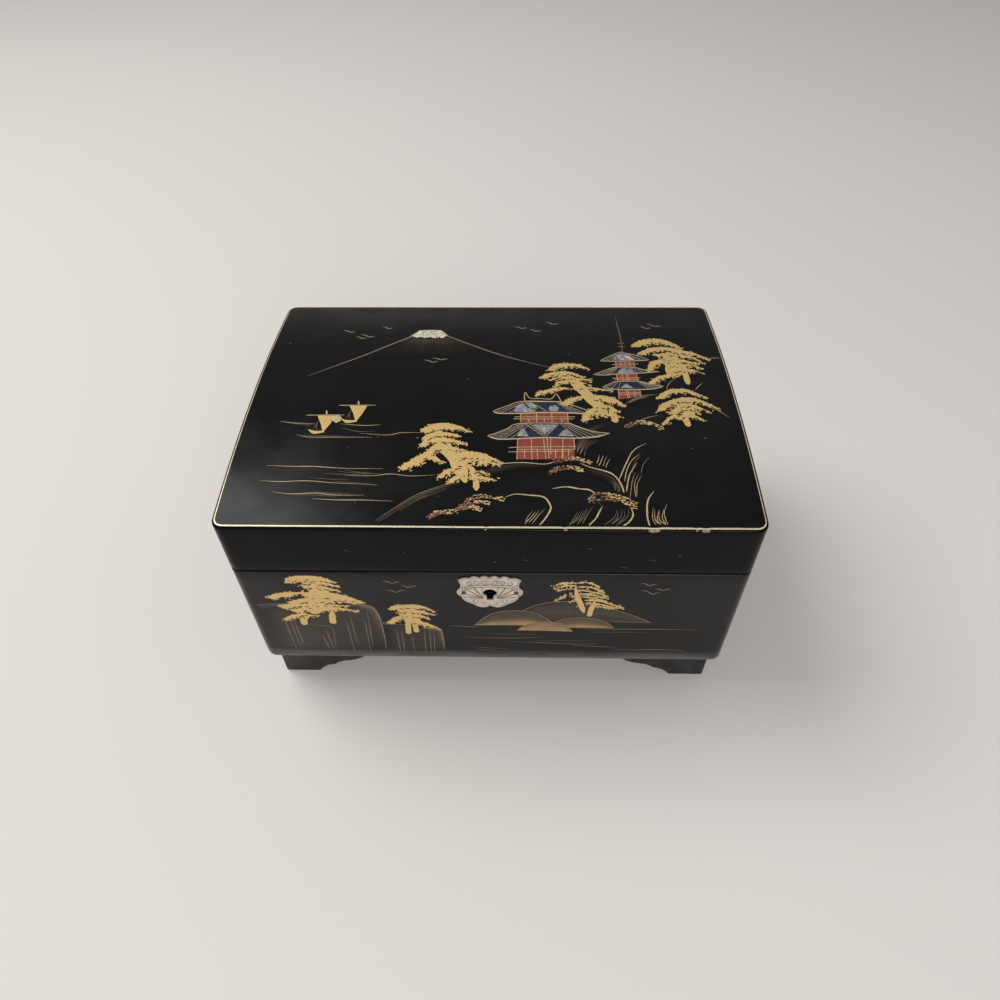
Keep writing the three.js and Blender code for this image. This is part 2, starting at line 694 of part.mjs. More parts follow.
// The pinned cylinder on its arbor, with the pinion at one end and the wheel at the other
const PINS_PER_TOOTH = 3;
function cylinder() {
  const pitch = (CYLINDER_LENGTH - 2) / TOOTH_COUNT;
  const pins = [];
  for (let track = 0; track < TOOTH_COUNT; track++) {
    for (let k = 0; k < PINS_PER_TOOTH; k++) {
      const angle = track * 2.39996 + (k * 2 * Math.PI) / PINS_PER_TOOTH + 0.2 * k * k;
      const pin = block([-0.2, 0.2], [-0.2, 0.2], [CYLINDER_RADIUS - 0.4, CYLINDER_RADIUS + PIN_TALL]);
      pins.push(pin.rotateX(angle).translate(1 + (track + 0.5) * pitch, 0, 0));
    }
  }
  const tube = cut(rodX(CYLINDER_RADIUS, 0, CYLINDER_LENGTH, 0, 0, 36), rodX(1.2, -1, CYLINDER_LENGTH + 1, 0, 0, 12));
  const pinion = gearShape(
    PINION_TEETH,
    (COARSE_MODULE * PINION_TEETH) / 2,
    0.6,
    0.9,
    0.42,
    -Math.PI / 2,
  );
  const wheel = gearShape(WHEEL_TEETH, (FINE_MODULE * WHEEL_TEETH) / 2, 0.4, 0.55, 0.3, 0);
  const made = group(
    piece("cylinder", join(tube, ...pins), brass),
    piece(
      "cylinder_arbor",
      join(rodX(0.9, -20.2 - BARREL_X, 24.8, 0, 0, 12), prismX(pinion, CROWN_PITCH + BARREL_X - 0.7, CROWN_PITCH + BARREL_X + 0.7)),
      steel,
    ),
    piece("cylinder_wheel", cut(prismX(wheel, 23.5, 24.5), rodX(1.2, 23, 25, 0, 0, 12)), brass),
  );
  made.position.z = AXIS_Z;
  return made;
}

// The comb: one tuned tooth for each track, cut from a steel plate, held down by two screws
function comb() {
  const tips = -CYLINDER_RADIUS - PIN_TALL - GAP;
  const pitch = (CYLINDER_LENGTH - 2) / TOOTH_COUNT;
  const points = [
    [0, -19.3],
    [CYLINDER_LENGTH, -19.3],
  ];
  for (let i = TOOTH_COUNT; i > 0; i--) {
    const right = 1 + i * pitch - 0.12;
    const left = 1 + (i - 1) * pitch + 0.12;
    const root = -13.6 + 0.08 * i;
    points.push([right, root], [right, tips], [left, tips], [left, root]);
  }
  const holes = [4, 16].map((x) => rodZ(1.1, 10, 20, x, -16.6, 12));
  const screw = (name, x) => {
    const made = join(rodZ(0.8, 9, AXIS_Z + 1, 0, 0, 12), rodZ(1.7, AXIS_Z + 0.9, AXIS_Z + 2.1, 0, 0, 16));
    const slotted = cut(made, block([-2, 2], [-0.25, 0.25], [AXIS_Z + 1.6, AXIS_Z + 3]));
    return piece(name, slotted.translate(x, -16.6, 0), steel);
  };
  return group(
    piece("comb", cut(prismZ(polygon(points), AXIS_Z - 0.6, AXIS_Z + 0.6), ...holes), steel),
    screw("comb_screw_left", 4),
    screw("comb_screw_right", 16),
  );
}

// The governor: a wheel driven by the cylinder turns a worm whose wings brake against the air
const BRACKET_X = 30.5;
function governor() {
  const arm = (z) => block([FLY_X - 2.2, BRACKET_X + 0.5], [FLY_Y - 2.2, FLY_Y + 2.2], z);
  const bracket = cut(
    join(
      block([BRACKET_X, BRACKET_X + 1], [-2, 14], [BEDPLATE + GAP, 30]),
      block([25.6, BRACKET_X + 1], [-2, 14], [BEDPLATE + GAP, BEDPLATE + 1.3]),
      arm([4.9, 6.1]),
      arm([29, 30]),
    ),
    rodX(1, BRACKET_X - 1, BRACKET_X + 2, GOVERNOR_Y, AXIS_Z, 16),
    rodZ(0.8, 4.5, 6.5, FLY_X, FLY_Y, 12),
    rodZ(0.8, 28, 31, FLY_X, FLY_Y, 12),
  );
  const gap = Math.PI / PINION_TEETH;
  const pinion = gearShape(PINION_TEETH, (FINE_MODULE * PINION_TEETH) / 2, 0.4, 0.55, 0.28, Math.PI + gap);
  const wheel = gearShape(WORM_WHEEL_TEETH, (FINE_MODULE * WORM_WHEEL_TEETH) / 2, 0.35, 0.5, 0.24, Math.PI);
  const turned = join(
    rodX(0.7, 20.9, BRACKET_X + 0.9, 0, 0, 12),
    prismX(pinion, 23.4, 24.6),
    prismX(wheel, FLY_X - 0.6, FLY_X + 0.6),
  );
  const governorWheel = piece("governor_wheel", turned, plastic);
  governorWheel.position.set(0, GOVERNOR_Y, AXIS_Z);
  const fly = piece("fly", flyGeometry(), plastic);
  fly.position.set(FLY_X, FLY_Y, 0);
  return group(piece("governor_bracket", bracket, brass), governorWheel, fly);
}

// The worm is one thread swept round the fly's arbor, a lead of one wheel tooth each turn
function flyGeometry() {
  const lead = Math.PI * FINE_MODULE;
  const turns = 4;
  const steps = turns * 16;
  const section = [
    [0.35, -0.36],
    [1.6, -0.14],
    [1.6, 0.14],
    [0.35, 0.36],
  ];
  const start = AXIS_Z - (turns / 2) * lead + lead / 2;
  const positions = [];
  for (let step = 0; step <= steps; step++) {
    const angle = (step / 16) * 2 * Math.PI + Math.PI / 2;
    for (const [radius, rise] of section) {
      positions.push(radius * Math.cos(angle), radius * Math.sin(angle), start + (step / 16) * lead + rise);
    }
  }
  const index = [0, 1, 2, 0, 2, 3];
  const end = steps * 4;
  index.push(end, end + 2, end + 1, end, end + 3, end + 2);
  for (let step = 0; step < steps; step++) {
    for (let side = 0; side < 4; side++) {
      const a = step * 4 + side;
      const b = step * 4 + ((side + 1) % 4);
      index.push(a, a + 4, b, b, a + 4, b + 4);
    }
  }
  const thread = new THREE.BufferGeometry()
    .setAttribute("position", new THREE.Float32BufferAttribute(positions, 3))
    .setIndex(index);
  return join(
    thread,
    rodZ(0.5, 5.3, 29.7, 0, 0, 12),
    rodZ(1.1, 23.9, 28.5, 0, 0, 12),
    block([-3.4, 3.4], [-0.25, 0.25], [24.2, 28.2]),
  );
}

// The stop: a wire that the closed lid holds down, with a finger beside the fly, and its guide
function stopWork() {
  const finger = 26.2;
  const top = LID_TOP_Z - GAP - CARD - GAP - MOVEMENT.z;
  const wire = join(
    rodZ(0.75, finger - 0.75, top, FLY_X, STOP_Y, 12),
    rodY(0.7, FLY_Y + 3.9, STOP_Y, FLY_X, finger, 12),
  );
  const guideBack = LINER_Y - GAP - MOVEMENT.y;
  const guide = cut(
    block([FLY_X - 3, FLY_X + 3], [STOP_Y - 2, guideBack], [33, SHELF_Z - GAP - MOVEMENT.z]),
    rodZ(1.1, 30, 40, FLY_X, STOP_Y, 16),
  );
  return group(piece("stop_plunger", wire, steel), piece("stop_guide", guide, brass));
}

function movement() {
  const made = group(
    bedplate(),
    barrel(),
    mainspring(),
    winder(),
    cylinder(),
    comb(),
    governor(),
    stopWork(),
  );
  made.position.copy(MOVEMENT);
  return made;
}

// The knuckles stand further out behind than the escutcheon's pins do in front, so the whole box
// is moved forward until the origin is under the middle of everything
const HINGE_PROUD = HINGE_AXIS_Y + KNUCKLE_RADIUS - HALF_D;
const root = group(
  caseBoards(),
  feet(),
  lidBoards(),
  lidLining(),
  hinge("left", -1),
  hinge("right", 1),
  escutcheon(),
  lock(),
  fitment(),
  movement(),
);
root.position.y = (PIN_PROUD - HINGE_PROUD) / 2;

export default root;
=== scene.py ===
# %% [markdown]
# # A lacquered musical jewelry box
# The real box is thin softwood boards under many coats of black lacquer, with a picture in gold
# powder and thin slips of shell on the lid and the front. This lesson dresses the fixed frame:
# it keeps every size and every moving body, and adds skins, paint, velvet and metal finishes.

# %% Load the fixed frame
import json

import bmesh
import bpy
import numpy as np
from mathutils import Matrix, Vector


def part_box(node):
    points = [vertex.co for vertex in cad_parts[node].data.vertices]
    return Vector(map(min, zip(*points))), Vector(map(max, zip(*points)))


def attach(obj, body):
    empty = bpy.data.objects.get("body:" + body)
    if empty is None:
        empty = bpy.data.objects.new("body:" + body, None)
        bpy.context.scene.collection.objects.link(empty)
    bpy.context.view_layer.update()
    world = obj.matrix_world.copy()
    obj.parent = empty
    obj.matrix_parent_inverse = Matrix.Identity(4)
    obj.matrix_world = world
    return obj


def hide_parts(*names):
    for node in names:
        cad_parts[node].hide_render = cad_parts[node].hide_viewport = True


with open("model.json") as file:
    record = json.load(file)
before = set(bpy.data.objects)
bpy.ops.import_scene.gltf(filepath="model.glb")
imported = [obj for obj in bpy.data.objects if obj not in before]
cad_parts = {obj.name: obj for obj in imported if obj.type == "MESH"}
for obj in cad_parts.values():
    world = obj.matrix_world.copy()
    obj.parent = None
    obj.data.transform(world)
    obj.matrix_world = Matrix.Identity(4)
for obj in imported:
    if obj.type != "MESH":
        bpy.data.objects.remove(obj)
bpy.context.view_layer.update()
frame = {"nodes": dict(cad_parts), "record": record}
MM = 0.001

# %% [markdown]
# ## Sizes
# Every length below is in millimetres in the frame's own axes. The sizes of the boards come from
# the frame, so the skins stay on them whatever they measure.

# %% Read the sizes from the frame
def span(*nodes):
    """Lowest and highest corner of one or more CAD nodes, in millimetres."""
    corners = np.array([[list(corner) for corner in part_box(node)] for node in nodes]) / MM
    return corners[:, 0].min(0), corners[:, 1].max(0)


lid_low, lid_high = span("lid_top", "lid_left", "lid_right")
case_low, case_high = span("case_left", "case_right", "case_front")
HALF = (lid_high - lid_low)[:2] / 2
MIDDLE_Y = (lid_high[1] + lid_low[1]) / 2
FRONT_Y = lid_low[1]
SEAM_LOW, SEAM_HIGH = case_high[2], lid_low[2]
CASE_FOOT = case_low[2]
BOARD = 9.0
CORNER = 5.0
CROWN = 5.2
PAINT_ROOM = 0.12
EDGE_Z = lid_high[2] - PAINT_ROOM - CROWN
CEILING = span("lid_top")[0][2]
print("half width and depth", HALF.round(2), "edge height", round(float(EDGE_Z), 2))


def arch(y):
    """Height of the lid's top: a parabola from the front edge to the back edge."""
    return EDGE_Z + CROWN * (1 - ((y - MIDDLE_Y) / HALF[1]) ** 2)


# %% [markdown]
# ## The camera and the light
# The camera stands where the photograph was taken, found by fitting the box's own edges. A phone's
# main lens sees about 67 degrees across. One large soft lamp hangs on the left, and its mirror image
# just reaches the lid's front left corner. The other stands in front. The rest is a dim, even room.

# %% Place the camera
CAMERA_AT = (11.3, -277.5, 353.9)
PITCH, YAW, ROLL = np.radians([47.448, 1.791, -0.989])
LENS, SENSOR = 27.0, 36.0
FAR_LIMIT = 20.0

camera = bpy.data.objects.new("camera", bpy.data.cameras.new("camera"))
camera.data.lens, camera.data.sensor_width = LENS, SENSOR
camera.data.clip_start, camera.data.clip_end = 0.01, FAR_LIMIT
camera.matrix_world = (
    Matrix.Translation([MM * at for at in CAMERA_AT])
    @ Matrix.Rotation(YAW, 4, "Z")
    @ Matrix.Rotation(np.pi / 2 - PITCH, 4, "X")
    @ Matrix.Rotation(ROLL, 4, "Z")
)
bpy.context.scene.collection.objects.link(camera)
bpy.context.scene.camera = camera

# %% Set the lamps and the sky
def soft_lamp(name, at, size, watts, color):
    """A round lamp at a place in metres, turned to face the box."""
    lamp = bpy.data.objects.new(name, bpy.data.lights.new(name, "AREA"))
    lamp.data.shape = "DISK"
    lamp.data.size, lamp.data.energy, lamp.data.color = size, watts, color
    place = Matrix.Translation(at)
    aim = place.translation.to_track_quat("Z", "Y").to_matrix().to_4x4()
    lamp.matrix_world = place @ aim
    bpy.context.scene.collection.objects.link(lamp)
    return lamp


soft_lamp("key_lamp", (-1.0, 0.35, 1.5), 1.2, 15.5, (1.0, 0.98, 0.95))
soft_lamp("front_lamp", (0.3, -1.6, 1.3), 1.2, 15.5, (1.0, 0.985, 0.97))
world = bpy.data.worlds.new("studio")
bpy.context.scene.world = world
world.use_nodes = True
world.node_tree.nodes["Background"].inputs["Color"].default_value = (0.27, 0.262, 0.255, 1)
world.node_tree.nodes["Background"].inputs["Strength"].default_value = 1.0
bpy.context.scene.view_settings.view_transform = "Standard"

# %% [markdown]
# ## Writing a finish
# Each finish is one Principled shader. Noise read from Object coordinates changes its colour,
# roughness and bump from place to place, so it needs no picture and never slides. This small
# class keeps the wiring out of the way: each method adds one node and returns its output.

# %% A helper that wires a procedural finish
class Finish:
    """One procedural material. Plain numbers are set on the shader's own sockets."""

    def __init__(self, name, color, roughness, metallic=0.0, **sockets):
        self.material = bpy.data.materials.new(name)
        self.material.use_nodes = True
        self.tree = self.material.node_tree
        self.shader = self.tree.nodes["Principled BSDF"]
        values = {"Base Color": (*color, 1), "Roughness": roughness, "Metallic": metallic}
        for socket, value in {**values, **sockets}.items():
            self.shader.inputs[socket].default_value = value
        self.place = self.tree.nodes.new("ShaderNodeTexCoord").outputs["Object"]

    def link(self, source, target):
        if isinstance(target, str):
            target = self.shader.inputs[target]
        self.tree.links.new(source, target)

    def noise(self, size, detail=3, stretch=(1, 1, 1), rough=0.5):
        """Noise whose grains are about size millimetres, drawn out by stretch along each axis."""
        mapping = self.tree.nodes.new("ShaderNodeMapping")
        mapping.inputs["Scale"].default_value = [1 / (MM * size * s) for s in stretch]
        texture = self.tree.nodes.new("ShaderNodeTexNoise")
        texture.inputs["Scale"].default_value = 1
        texture.inputs["Detail"].default_value = detail
        texture.inputs["Roughness"].default_value = rough
        self.link(self.place, mapping.inputs["Vector"])
        self.link(mapping.outputs["Vector"], texture.inputs["Vector"])
        return texture.outputs["Fac"]

    def cells(self, size, output="Color"):
        """Voronoi cells about size millimetres across."""
        texture = self.tree.nodes.new("ShaderNodeTexVoronoi")
        texture.inputs["Scale"].default_value = 1 / (MM * size)
        self.link(self.place, texture.inputs["Vector"])
        return texture.outputs[output]

    def attribute(self, name):
        node = self.tree.nodes.new("ShaderNodeAttribute")
        node.attribute_name = name
        return node.outputs["Fac"]

    def spread(self, value, low, high, to_low=0.0, to_high=1.0):
        """Stretches the band low to high of a value over to_low to to_high, clamped."""
        node = self.tree.nodes.new("ShaderNodeMapRange")
        self.link(value, node.inputs["Value"])
        for socket, number in zip(("From Min", "From Max", "To Min", "To Max"), (low, high, to_low, to_high)):
            node.inputs[socket].default_value = number
        return node.outputs["Result"]

    def times(self, a, b, operation="MULTIPLY"):
        node = self.tree.nodes.new("ShaderNodeMath")
        node.operation = operation
        for socket, value in zip(node.inputs, (a, b)):
            if isinstance(value, (int, float)):
                socket.default_value = value
            else:
                self.link(value, socket)
        return node.outputs["Value"]

    def ramp(self, value, *stops):
        """Colours along a value from 0 to 1: each stop is a position and a colour."""
        node = self.tree.nodes.new("ShaderNodeValToRGB")
        elements = node.color_ramp.elements
        while len(elements) < len(stops):
            elements.new(1)
        for element, (position, color) in zip(elements, stops):
            element.position, element.color = position, (*color, 1)
        self.link(value, node.inputs["Fac"])
        return node.outputs["Color"]

    def blend(self, factor, a, b):
        """Colour a where factor is 0 and b where it is 1."""
        node = self.tree.nodes.new("ShaderNodeMix")
        node.data_type = "RGBA"
        self.link(factor, node.inputs["Factor"])
        for socket, value in ((node.inputs[6], a), (node.inputs[7], b)):
            if isinstance(value, tuple):
                socket.default_value = (*value, 1)
            else:
                self.link(value, socket)
        return node.outputs[2]

    def bump(self, height, depth, strength=1.0):
        """Raises the surface by up to depth millimetres where height is 1."""
        node = self.tree.nodes.new("ShaderNodeBump")
        node.inputs["Distance"].default_value = depth * MM
        node.inputs["Strength"].default_value = strength
        self.link(height, node.inputs["Height"])
        self.link(node.outputs["Normal"], "Normal")


# %% [markdown]
# ## The finishes
# Black lacquer is a dark dielectric: nearly all its colour is what it mirrors. Fine lines from
# polishing run along the box, and hands leave it duller in patches. Where gold powder was
# sprinkled, an attribute called gold_dust says how thickly, and fine grains break it up. The case
# is greyer than the lid. A second attribute greys the lacquer and roughens it. On the lid it paints
# in a sheen at the front left corner and greys a few other patches. On the case it paints highlights
# along the arris under the foot and along the rim below the seam.

# %% Lacquer, satin paint and gold
# The pale grey that the dull patches, the painted sheen and the painted highlights blend towards.
LACQUER_BLACK, DULL_AND_SHEEN_GREY = (0.0032, 0.0032, 0.0034), (0.16, 0.157, 0.155)
DUST_STOPS = [(0.0, LACQUER_BLACK), (0.3, (0.055, 0.043, 0.032)), (0.6, (0.24, 0.16, 0.09)),
              (1.0, (0.80, 0.52, 0.20))]


def lacquer_finish(name, shine, dull):
    """shine is how strongly it mirrors, and dull adds to its roughness and greyness."""
    made = Finish(name, LACQUER_BLACK, 0.2,
                  **{"Specular IOR Level": shine, "Specular Tint": (0.93, 0.96, 1.0, 1)})
    grains = made.times(made.spread(made.noise(0.35, 2), 0.38, 0.62, 0.8, 1.2),
                        made.spread(made.noise(6, 3), 0.3, 0.7, 0.9, 1.1))
    dust = made.times(made.attribute("gold_dust"), grains)
    smears = made.spread(made.noise(26, 6, rough=0.66), 0.40, 0.68, 0.0, 1.0)
    haze = made.times(smears, dull)
    # Painted sheen and painted highlights, with some grey patches: the black is blended towards pale grey and
    # made rougher.
    sheen_and_grey_mask = made.times(made.attribute("sheen_and_grey"), made.spread(made.noise(3, 4, (6, 6, 1)), 0.3, 0.6, 0.35, 1.0))
    made.link(made.blend(made.times(haze, sheen_and_grey_mask, "MAXIMUM"), made.ramp(dust, *DUST_STOPS), DULL_AND_SHEEN_GREY),
              "Base Color")
    rough = made.times(made.spread(smears, 0, 1, 0.13, 0.26), made.spread(sheen_and_grey_mask, 0, 1, 0, 0.2), "ADD")
    made.link(made.times(rough, made.spread(dust, 0, 1, 0, 0.34), "ADD"), "Roughness")
    made.link(made.spread(dust, 0, 1, 0, 0.2), "Metallic")
    lines = made.noise(0.45, 2, (60, 1, 1))
    made.bump(made.times(lines, made.noise(9, 3), "ADD"), 0.005, 0.6)
    return made.material


def satin_finish():
    made = Finish("satin_black", (0.007, 0.0068, 0.0068), 0.5)
    made.link(made.spread(made.noise(7, 4), 0.3, 0.7, 0.42, 0.62), "Roughness")
    made.bump(made.noise(0.6, 4, (8, 1, 1)), 0.02, 0.7)
    return made.material


def gold_paint(name, color, metallic=0.35, rough=0.5, grain=0.5):
    """Bronze powder in lacquer: flat, a little metallic, with a fine uneven grain."""
    made = Finish(name, color, rough, metallic)
    darker = tuple(0.62 * c for c in color)
    lighter = tuple(min(1.0, 1.18 * c) for c in color)
    made.link(made.ramp(made.noise(grain, 4), (0.36, darker), (0.47, color), (0.68, lighter)), "Base Color")
    made.bump(made.noise(0.18, 2), 0.01, 0.6)
    return made.material


lacquer = lacquer_finish("lid_lacquer", 0.17, 0.012)
wall_lacquer = lacquer_finish("lid_wall_lacquer", 0.09, 0.01)
case_lacquer = lacquer_finish("case_lacquer", 0.26, 0.035)
satin_black = satin_finish()
gold_leafage = gold_paint("gold_foliage", (0.76, 0.53, 0.21))
gold_line = gold_paint("gold_line", (0.66, 0.52, 0.30))
gold_dim = gold_paint("gold_dim", (0.31, 0.24, 0.155), 0.3)
gold_faint = gold_paint("gold_faint", (0.19, 0.14, 0.092), 0.3)
green_gold = gold_paint("green_gold", (0.30, 0.36, 0.22), 0.25)
gold_border = gold_paint("gold_border", (0.84, 0.75, 0.52), 0.45, 0.38)
red_gold = gold_paint("red_gold", (0.26, 0.105, 0.06), 0.15, 0.55)

# %% [markdown]
# The red walls are opaque paint. The slips of shell are the back of abalone, which splits light into
# lilac, blue and green patches, so a ramp over cells and slow noise gives the colour, under gloss.

# %% Red paint, roof paint and shell
def red_finish():
    made = Finish("red_paint", (0.27, 0.05, 0.03), 0.45)
    tones = made.ramp(made.noise(2.2, 3), (0.3, (0.21, 0.04, 0.026)), (0.7, (0.32, 0.062, 0.038)))
    made.link(tones, "Base Color")
    return made.material


def roof_finish():
    made = Finish("roof_paint", (0.012, 0.018, 0.042), 0.3)
    tones = made.ramp(made.noise(3.0, 3), (0.35, (0.007, 0.010, 0.022)), (0.7, (0.018, 0.030, 0.070)))
    made.link(tones, "Base Color")
    return made.material


def shell_finish():
    made = Finish("shell_inlay", (0.4, 0.4, 0.45), 0.2, 0.35, **{"Coat Weight": 0.5})
    sheen = made.times(made.noise(2.2, 3, (1, 1.8, 1)),
                       made.spread(made.cells(1.3, "Distance"), 0, 0.9, -0.1, 0.14), "ADD")
    stops = [
        (0.30, (0.08, 0.11, 0.16)),
        (0.40, (0.24, 0.25, 0.42)),
        (0.46, (0.50, 0.34, 0.44)),
        (0.52, (0.34, 0.30, 0.46)),
        (0.58, (0.30, 0.42, 0.34)),
        (0.64, (0.50, 0.50, 0.30)),
        (0.76, (0.82, 0.84, 0.78)),
    ]
    made.link(made.ramp(sheen, *stops), "Base Color")
    return made.material


def pearl_finish():
    made = Finish("pearl_shell", (0.8, 0.82, 0.74), 0.25, 0.2, **{"Coat Weight": 0.5})
    stops = [(0.35, (0.58, 0.52, 0.30)), (0.5, (0.84, 0.86, 0.74)), (0.65, (1.0, 0.97, 0.90))]
    made.link(made.ramp(made.noise(1.8, 3), *stops), "Base Color")
    return made.material


red_paint, roof_paint = red_finish(), roof_finish()
shell, pearl = shell_finish(), pearl_finish()

# %% [markdown]
# Metals are told apart by colour and by how sharply they mirror. The lock plate is warm nickel whose
# engraving holds dark tarnish: an attribute called tarnish, set from the depth of the cut, darkens it.

# %% Metals, glass, plastic and velvet
def metal(name, color, rough, grain=2.4, stretch=(1, 1, 1), spread=0.08):
    """A metal with fine marks along stretch and slow, faint patches of tarnish."""
    made = Finish(name, color, rough, 1.0)
    dull = made.spread(made.noise(grain, 4, stretch), 0.3, 0.7, rough - spread / 2, rough + spread)
    made.link(dull, "Roughness")
    patches = made.ramp(made.noise(9, 3), (0.3, tuple(0.86 * c for c in color)), (0.65, color))
    made.link(patches, "Base Color")
    made.bump(made.noise(3.5, 2), 0.006, 0.5)
    return made.material


def mirror_finish():
    """Silvered glass: clean in the middle, with a breath of haze in large patches."""
    made = Finish("mirror", (0.86, 0.89, 0.89), 0.01, 1.0)
    made.link(made.ramp(made.noise(60, 2), (0.3, (0.82, 0.85, 0.85)), (0.7, (0.88, 0.905, 0.90))),
              "Base Color")
    made.link(made.spread(made.noise(45, 3), 0.5, 0.8, 0.006, 0.035), "Roughness")
    return made.material


def nickel_finish():
    color, tarnish = (0.78, 0.70, 0.62), (0.07, 0.05, 0.035)
    made = Finish("nickel", color, 0.45, 0.5)
    cut = made.times(made.attribute("tarnish"), made.spread(made.noise(1.5, 3), 0.3, 0.6, 0.55, 1.1))
    stained = made.ramp(made.noise(3.5, 4), (0.3, (0.60, 0.52, 0.44)), (0.62, color))
    made.link(made.blend(cut, stained, tarnish), "Base Color")
    made.link(made.spread(made.noise(0.8, 3), 0.3, 0.7, 0.38, 0.54), "Roughness")
    made.bump(made.noise(0.3, 3), 0.01, 0.5)
    return made.material


def velvet_finish():
    made = Finish("velvet", (0.12, 0.004, 0.012), 0.92, **{"Sheen Weight": 0.8, "Sheen Roughness": 0.35})
    made.shader.inputs["Sheen Tint"].default_value = (1.0, 0.35, 0.42, 1)
    nap = made.noise(11, 5, rough=0.62)
    made.link(made.ramp(nap, (0.30, (0.10, 0.003, 0.010)), (0.70, (0.165, 0.0065, 0.018))), "Base Color")
    made.bump(made.times(made.noise(0.35, 3), made.noise(3, 2), "ADD"), 0.12, 0.7)
    return made.material


def clear_finish():
    made = Finish("clear_sheet", (0.93, 0.97, 0.97), 0.04, **{"IOR": 1.49, "Transmission Weight": 1.0})
    made.link(made.spread(made.noise(12, 4), 0.3, 0.75, 0.02, 0.10), "Roughness")
    return made.material


def plastic_finish():
    made = Finish("white_plastic", (0.78, 0.75, 0.66), 0.38)
    made.bump(made.noise(0.7, 3), 0.02, 0.4)
    return made.material


nickel = nickel_finish()
brass = metal("brass", (0.62, 0.42, 0.17), 0.28)
pin_brass = metal("dark_brass", (0.14, 0.095, 0.045), 0.42)
steel = metal("ground_steel", (0.50, 0.50, 0.51), 0.3, 0.6, (12, 1, 1))
gilt = metal("gilt_plate", (0.66, 0.50, 0.24), 0.34, 0.8)
mirror_glass = mirror_finish()
velvet, clear_sheet, white_plastic = velvet_finish(), clear_finish(), plastic_finish()

# %% [markdown]
# ## Making a mesh from arrays
# Most new pieces are one grid of points: rows along a path, columns round a profile. The helpers
# here turn such a grid into faces, put the mesh in the scene, and say which body it rides on.

# %% Helpers for meshes and pieces
def tube_faces(rows, columns, capped=True):
    """Quads of a grid whose columns close on themselves, with a face at each end if capped."""
    i, j = np.meshgrid(np.arange(rows - 1), np.arange(columns), indexing="ij")
    k = (j + 1) % columns
    quads = np.stack([i * columns + j, (i + 1) * columns + j, (i + 1) * columns + k, i * columns + k], -1)
    faces = quads.reshape(-1, 4).tolist()
    if capped:
        faces += [list(range(columns)), list(range(rows * columns - 1, (rows - 1) * columns - 1, -1))]
    return faces


def ring_faces(rows, columns):
    """Quads of a grid that closes on itself both ways, as an array."""
    return np.array(tube_faces(rows + 1, columns, capped=False)) % (rows * columns)


def place_mesh(name, points, faces, finish, body, sharp=35):
    """Builds a mesh from points in millimetres, smooth between its sharp edges, and hangs it on a body."""
    mesh = bpy.data.meshes.new(name)
    mesh.from_pydata((np.asarray(points, float).reshape(-1, 3) * MM).tolist(), [], faces)
    mesh.materials.append(finish)
    mesh.polygons.foreach_set("use_smooth", np.ones(len(mesh.polygons), bool))
    mesh.set_sharp_from_angle(angle=np.radians(sharp))
    mesh.validate()
    made = bpy.data.objects.new(name, mesh)
    bpy.context.scene.collection.objects.link(made)
    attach(made, body)
    return made


def set_attribute(made, name, values):
    attribute = made.data.attributes.new(name, "FLOAT", "POINT")
    attribute.data.foreach_set("value", np.clip(values, 0, 1).astype(np.float32))


def merge_close(made, distance=0.002):
    """Merges points that fall together, as at a pole or a pinched corner, and drops edges left bare."""
    mesh = bmesh.new()
    mesh.from_mesh(made.data)
    bmesh.ops.remove_doubles(mesh, verts=mesh.verts, dist=distance * MM)
    loose = [edge for edge in mesh.edges if not edge.link_faces]
    bmesh.ops.delete(mesh, geom=loose, context="EDGES")
    mesh.to_mesh(made.data)
    mesh.free()


def face_outward(made):
    """Turns every face of a closed piece to point out of it."""
    mesh = bmesh.new()
    mesh.from_mesh(made.data)
    bmesh.ops.recalc_face_normals(mesh, faces=mesh.faces)
    mesh.to_mesh(made.data)
    mesh.free()


# %% [markdown]
# ## The case
# On the real case the lacquer hides the mitred corners of the four boards, so one skin replaces
# them: a profile (underside arris, wall, rim, inner wall) carried round the rounded rectangle.

# %% The rounded rectangle that every skin follows
CORNER_INSIDE = 0.4


class Outline:
    """Stations round the box. Each has a point on the inner skeleton and an outward direction."""

    def __init__(self, points, inset=0.0):
        reach = HALF - CORNER
        self.skeleton = np.clip(points, -reach, reach)
        self.outward = (points - self.skeleton) / (CORNER - inset)

    def at(self, inset, height):
        """The ring at one inset from the outside and one height, a number or one for each station."""
        radius = max(CORNER - inset, CORNER_INSIDE)
        scale = (HALF - inset - radius) / (HALF - CORNER)
        flat = self.skeleton * scale + self.outward * radius
        rise = np.broadcast_to(height, len(flat))
        return np.column_stack([flat[:, 0], flat[:, 1] + MIDDLE_Y, rise])


def case_stations(step=9.0, corner_steps=9):
    """Points on the outside of the rounded rectangle, anticlockwise from the front left corner."""
    reach = HALF - CORNER
    corners = np.array([[1, -1], [1, 1], [-1, 1], [-1, -1]]) * reach
    starts = np.array([[-1, -1], [1, -1], [1, 1], [-1, 1]]) * reach
    loops = []
    for side in range(4):
        normal = np.array([[0, -1], [1, 0], [0, 1], [-1, 0]])[side]
        run = np.abs(corners[side] - starts[side]).sum()
        count = int(run / step)
        t = np.linspace(0, 1, count, endpoint=False)[:, None]
        loops.append(starts[side] + t * (corners[side] - starts[side]) + normal * CORNER)
        angle = np.linspace(side - 1, side, corner_steps, endpoint=False)[:, None] * np.pi / 2
        loops.append(corners[side] + CORNER * np.hstack([np.cos(angle), np.sin(angle)]))
    return np.vstack(loops)


# %% Carry the wall's profile round the outline
UNDER_ARRIS, CASE_RIM, LID_RIM = 5.0, 0.7, 0.8
SEAM_DROP, INNER_ARRIS = 0.5, 0.4


def quarter(steps):
    """Sine and cosine of a quarter turn."""
    angle = np.linspace(0, np.pi / 2, steps)
    return np.sin(angle), np.cos(angle)


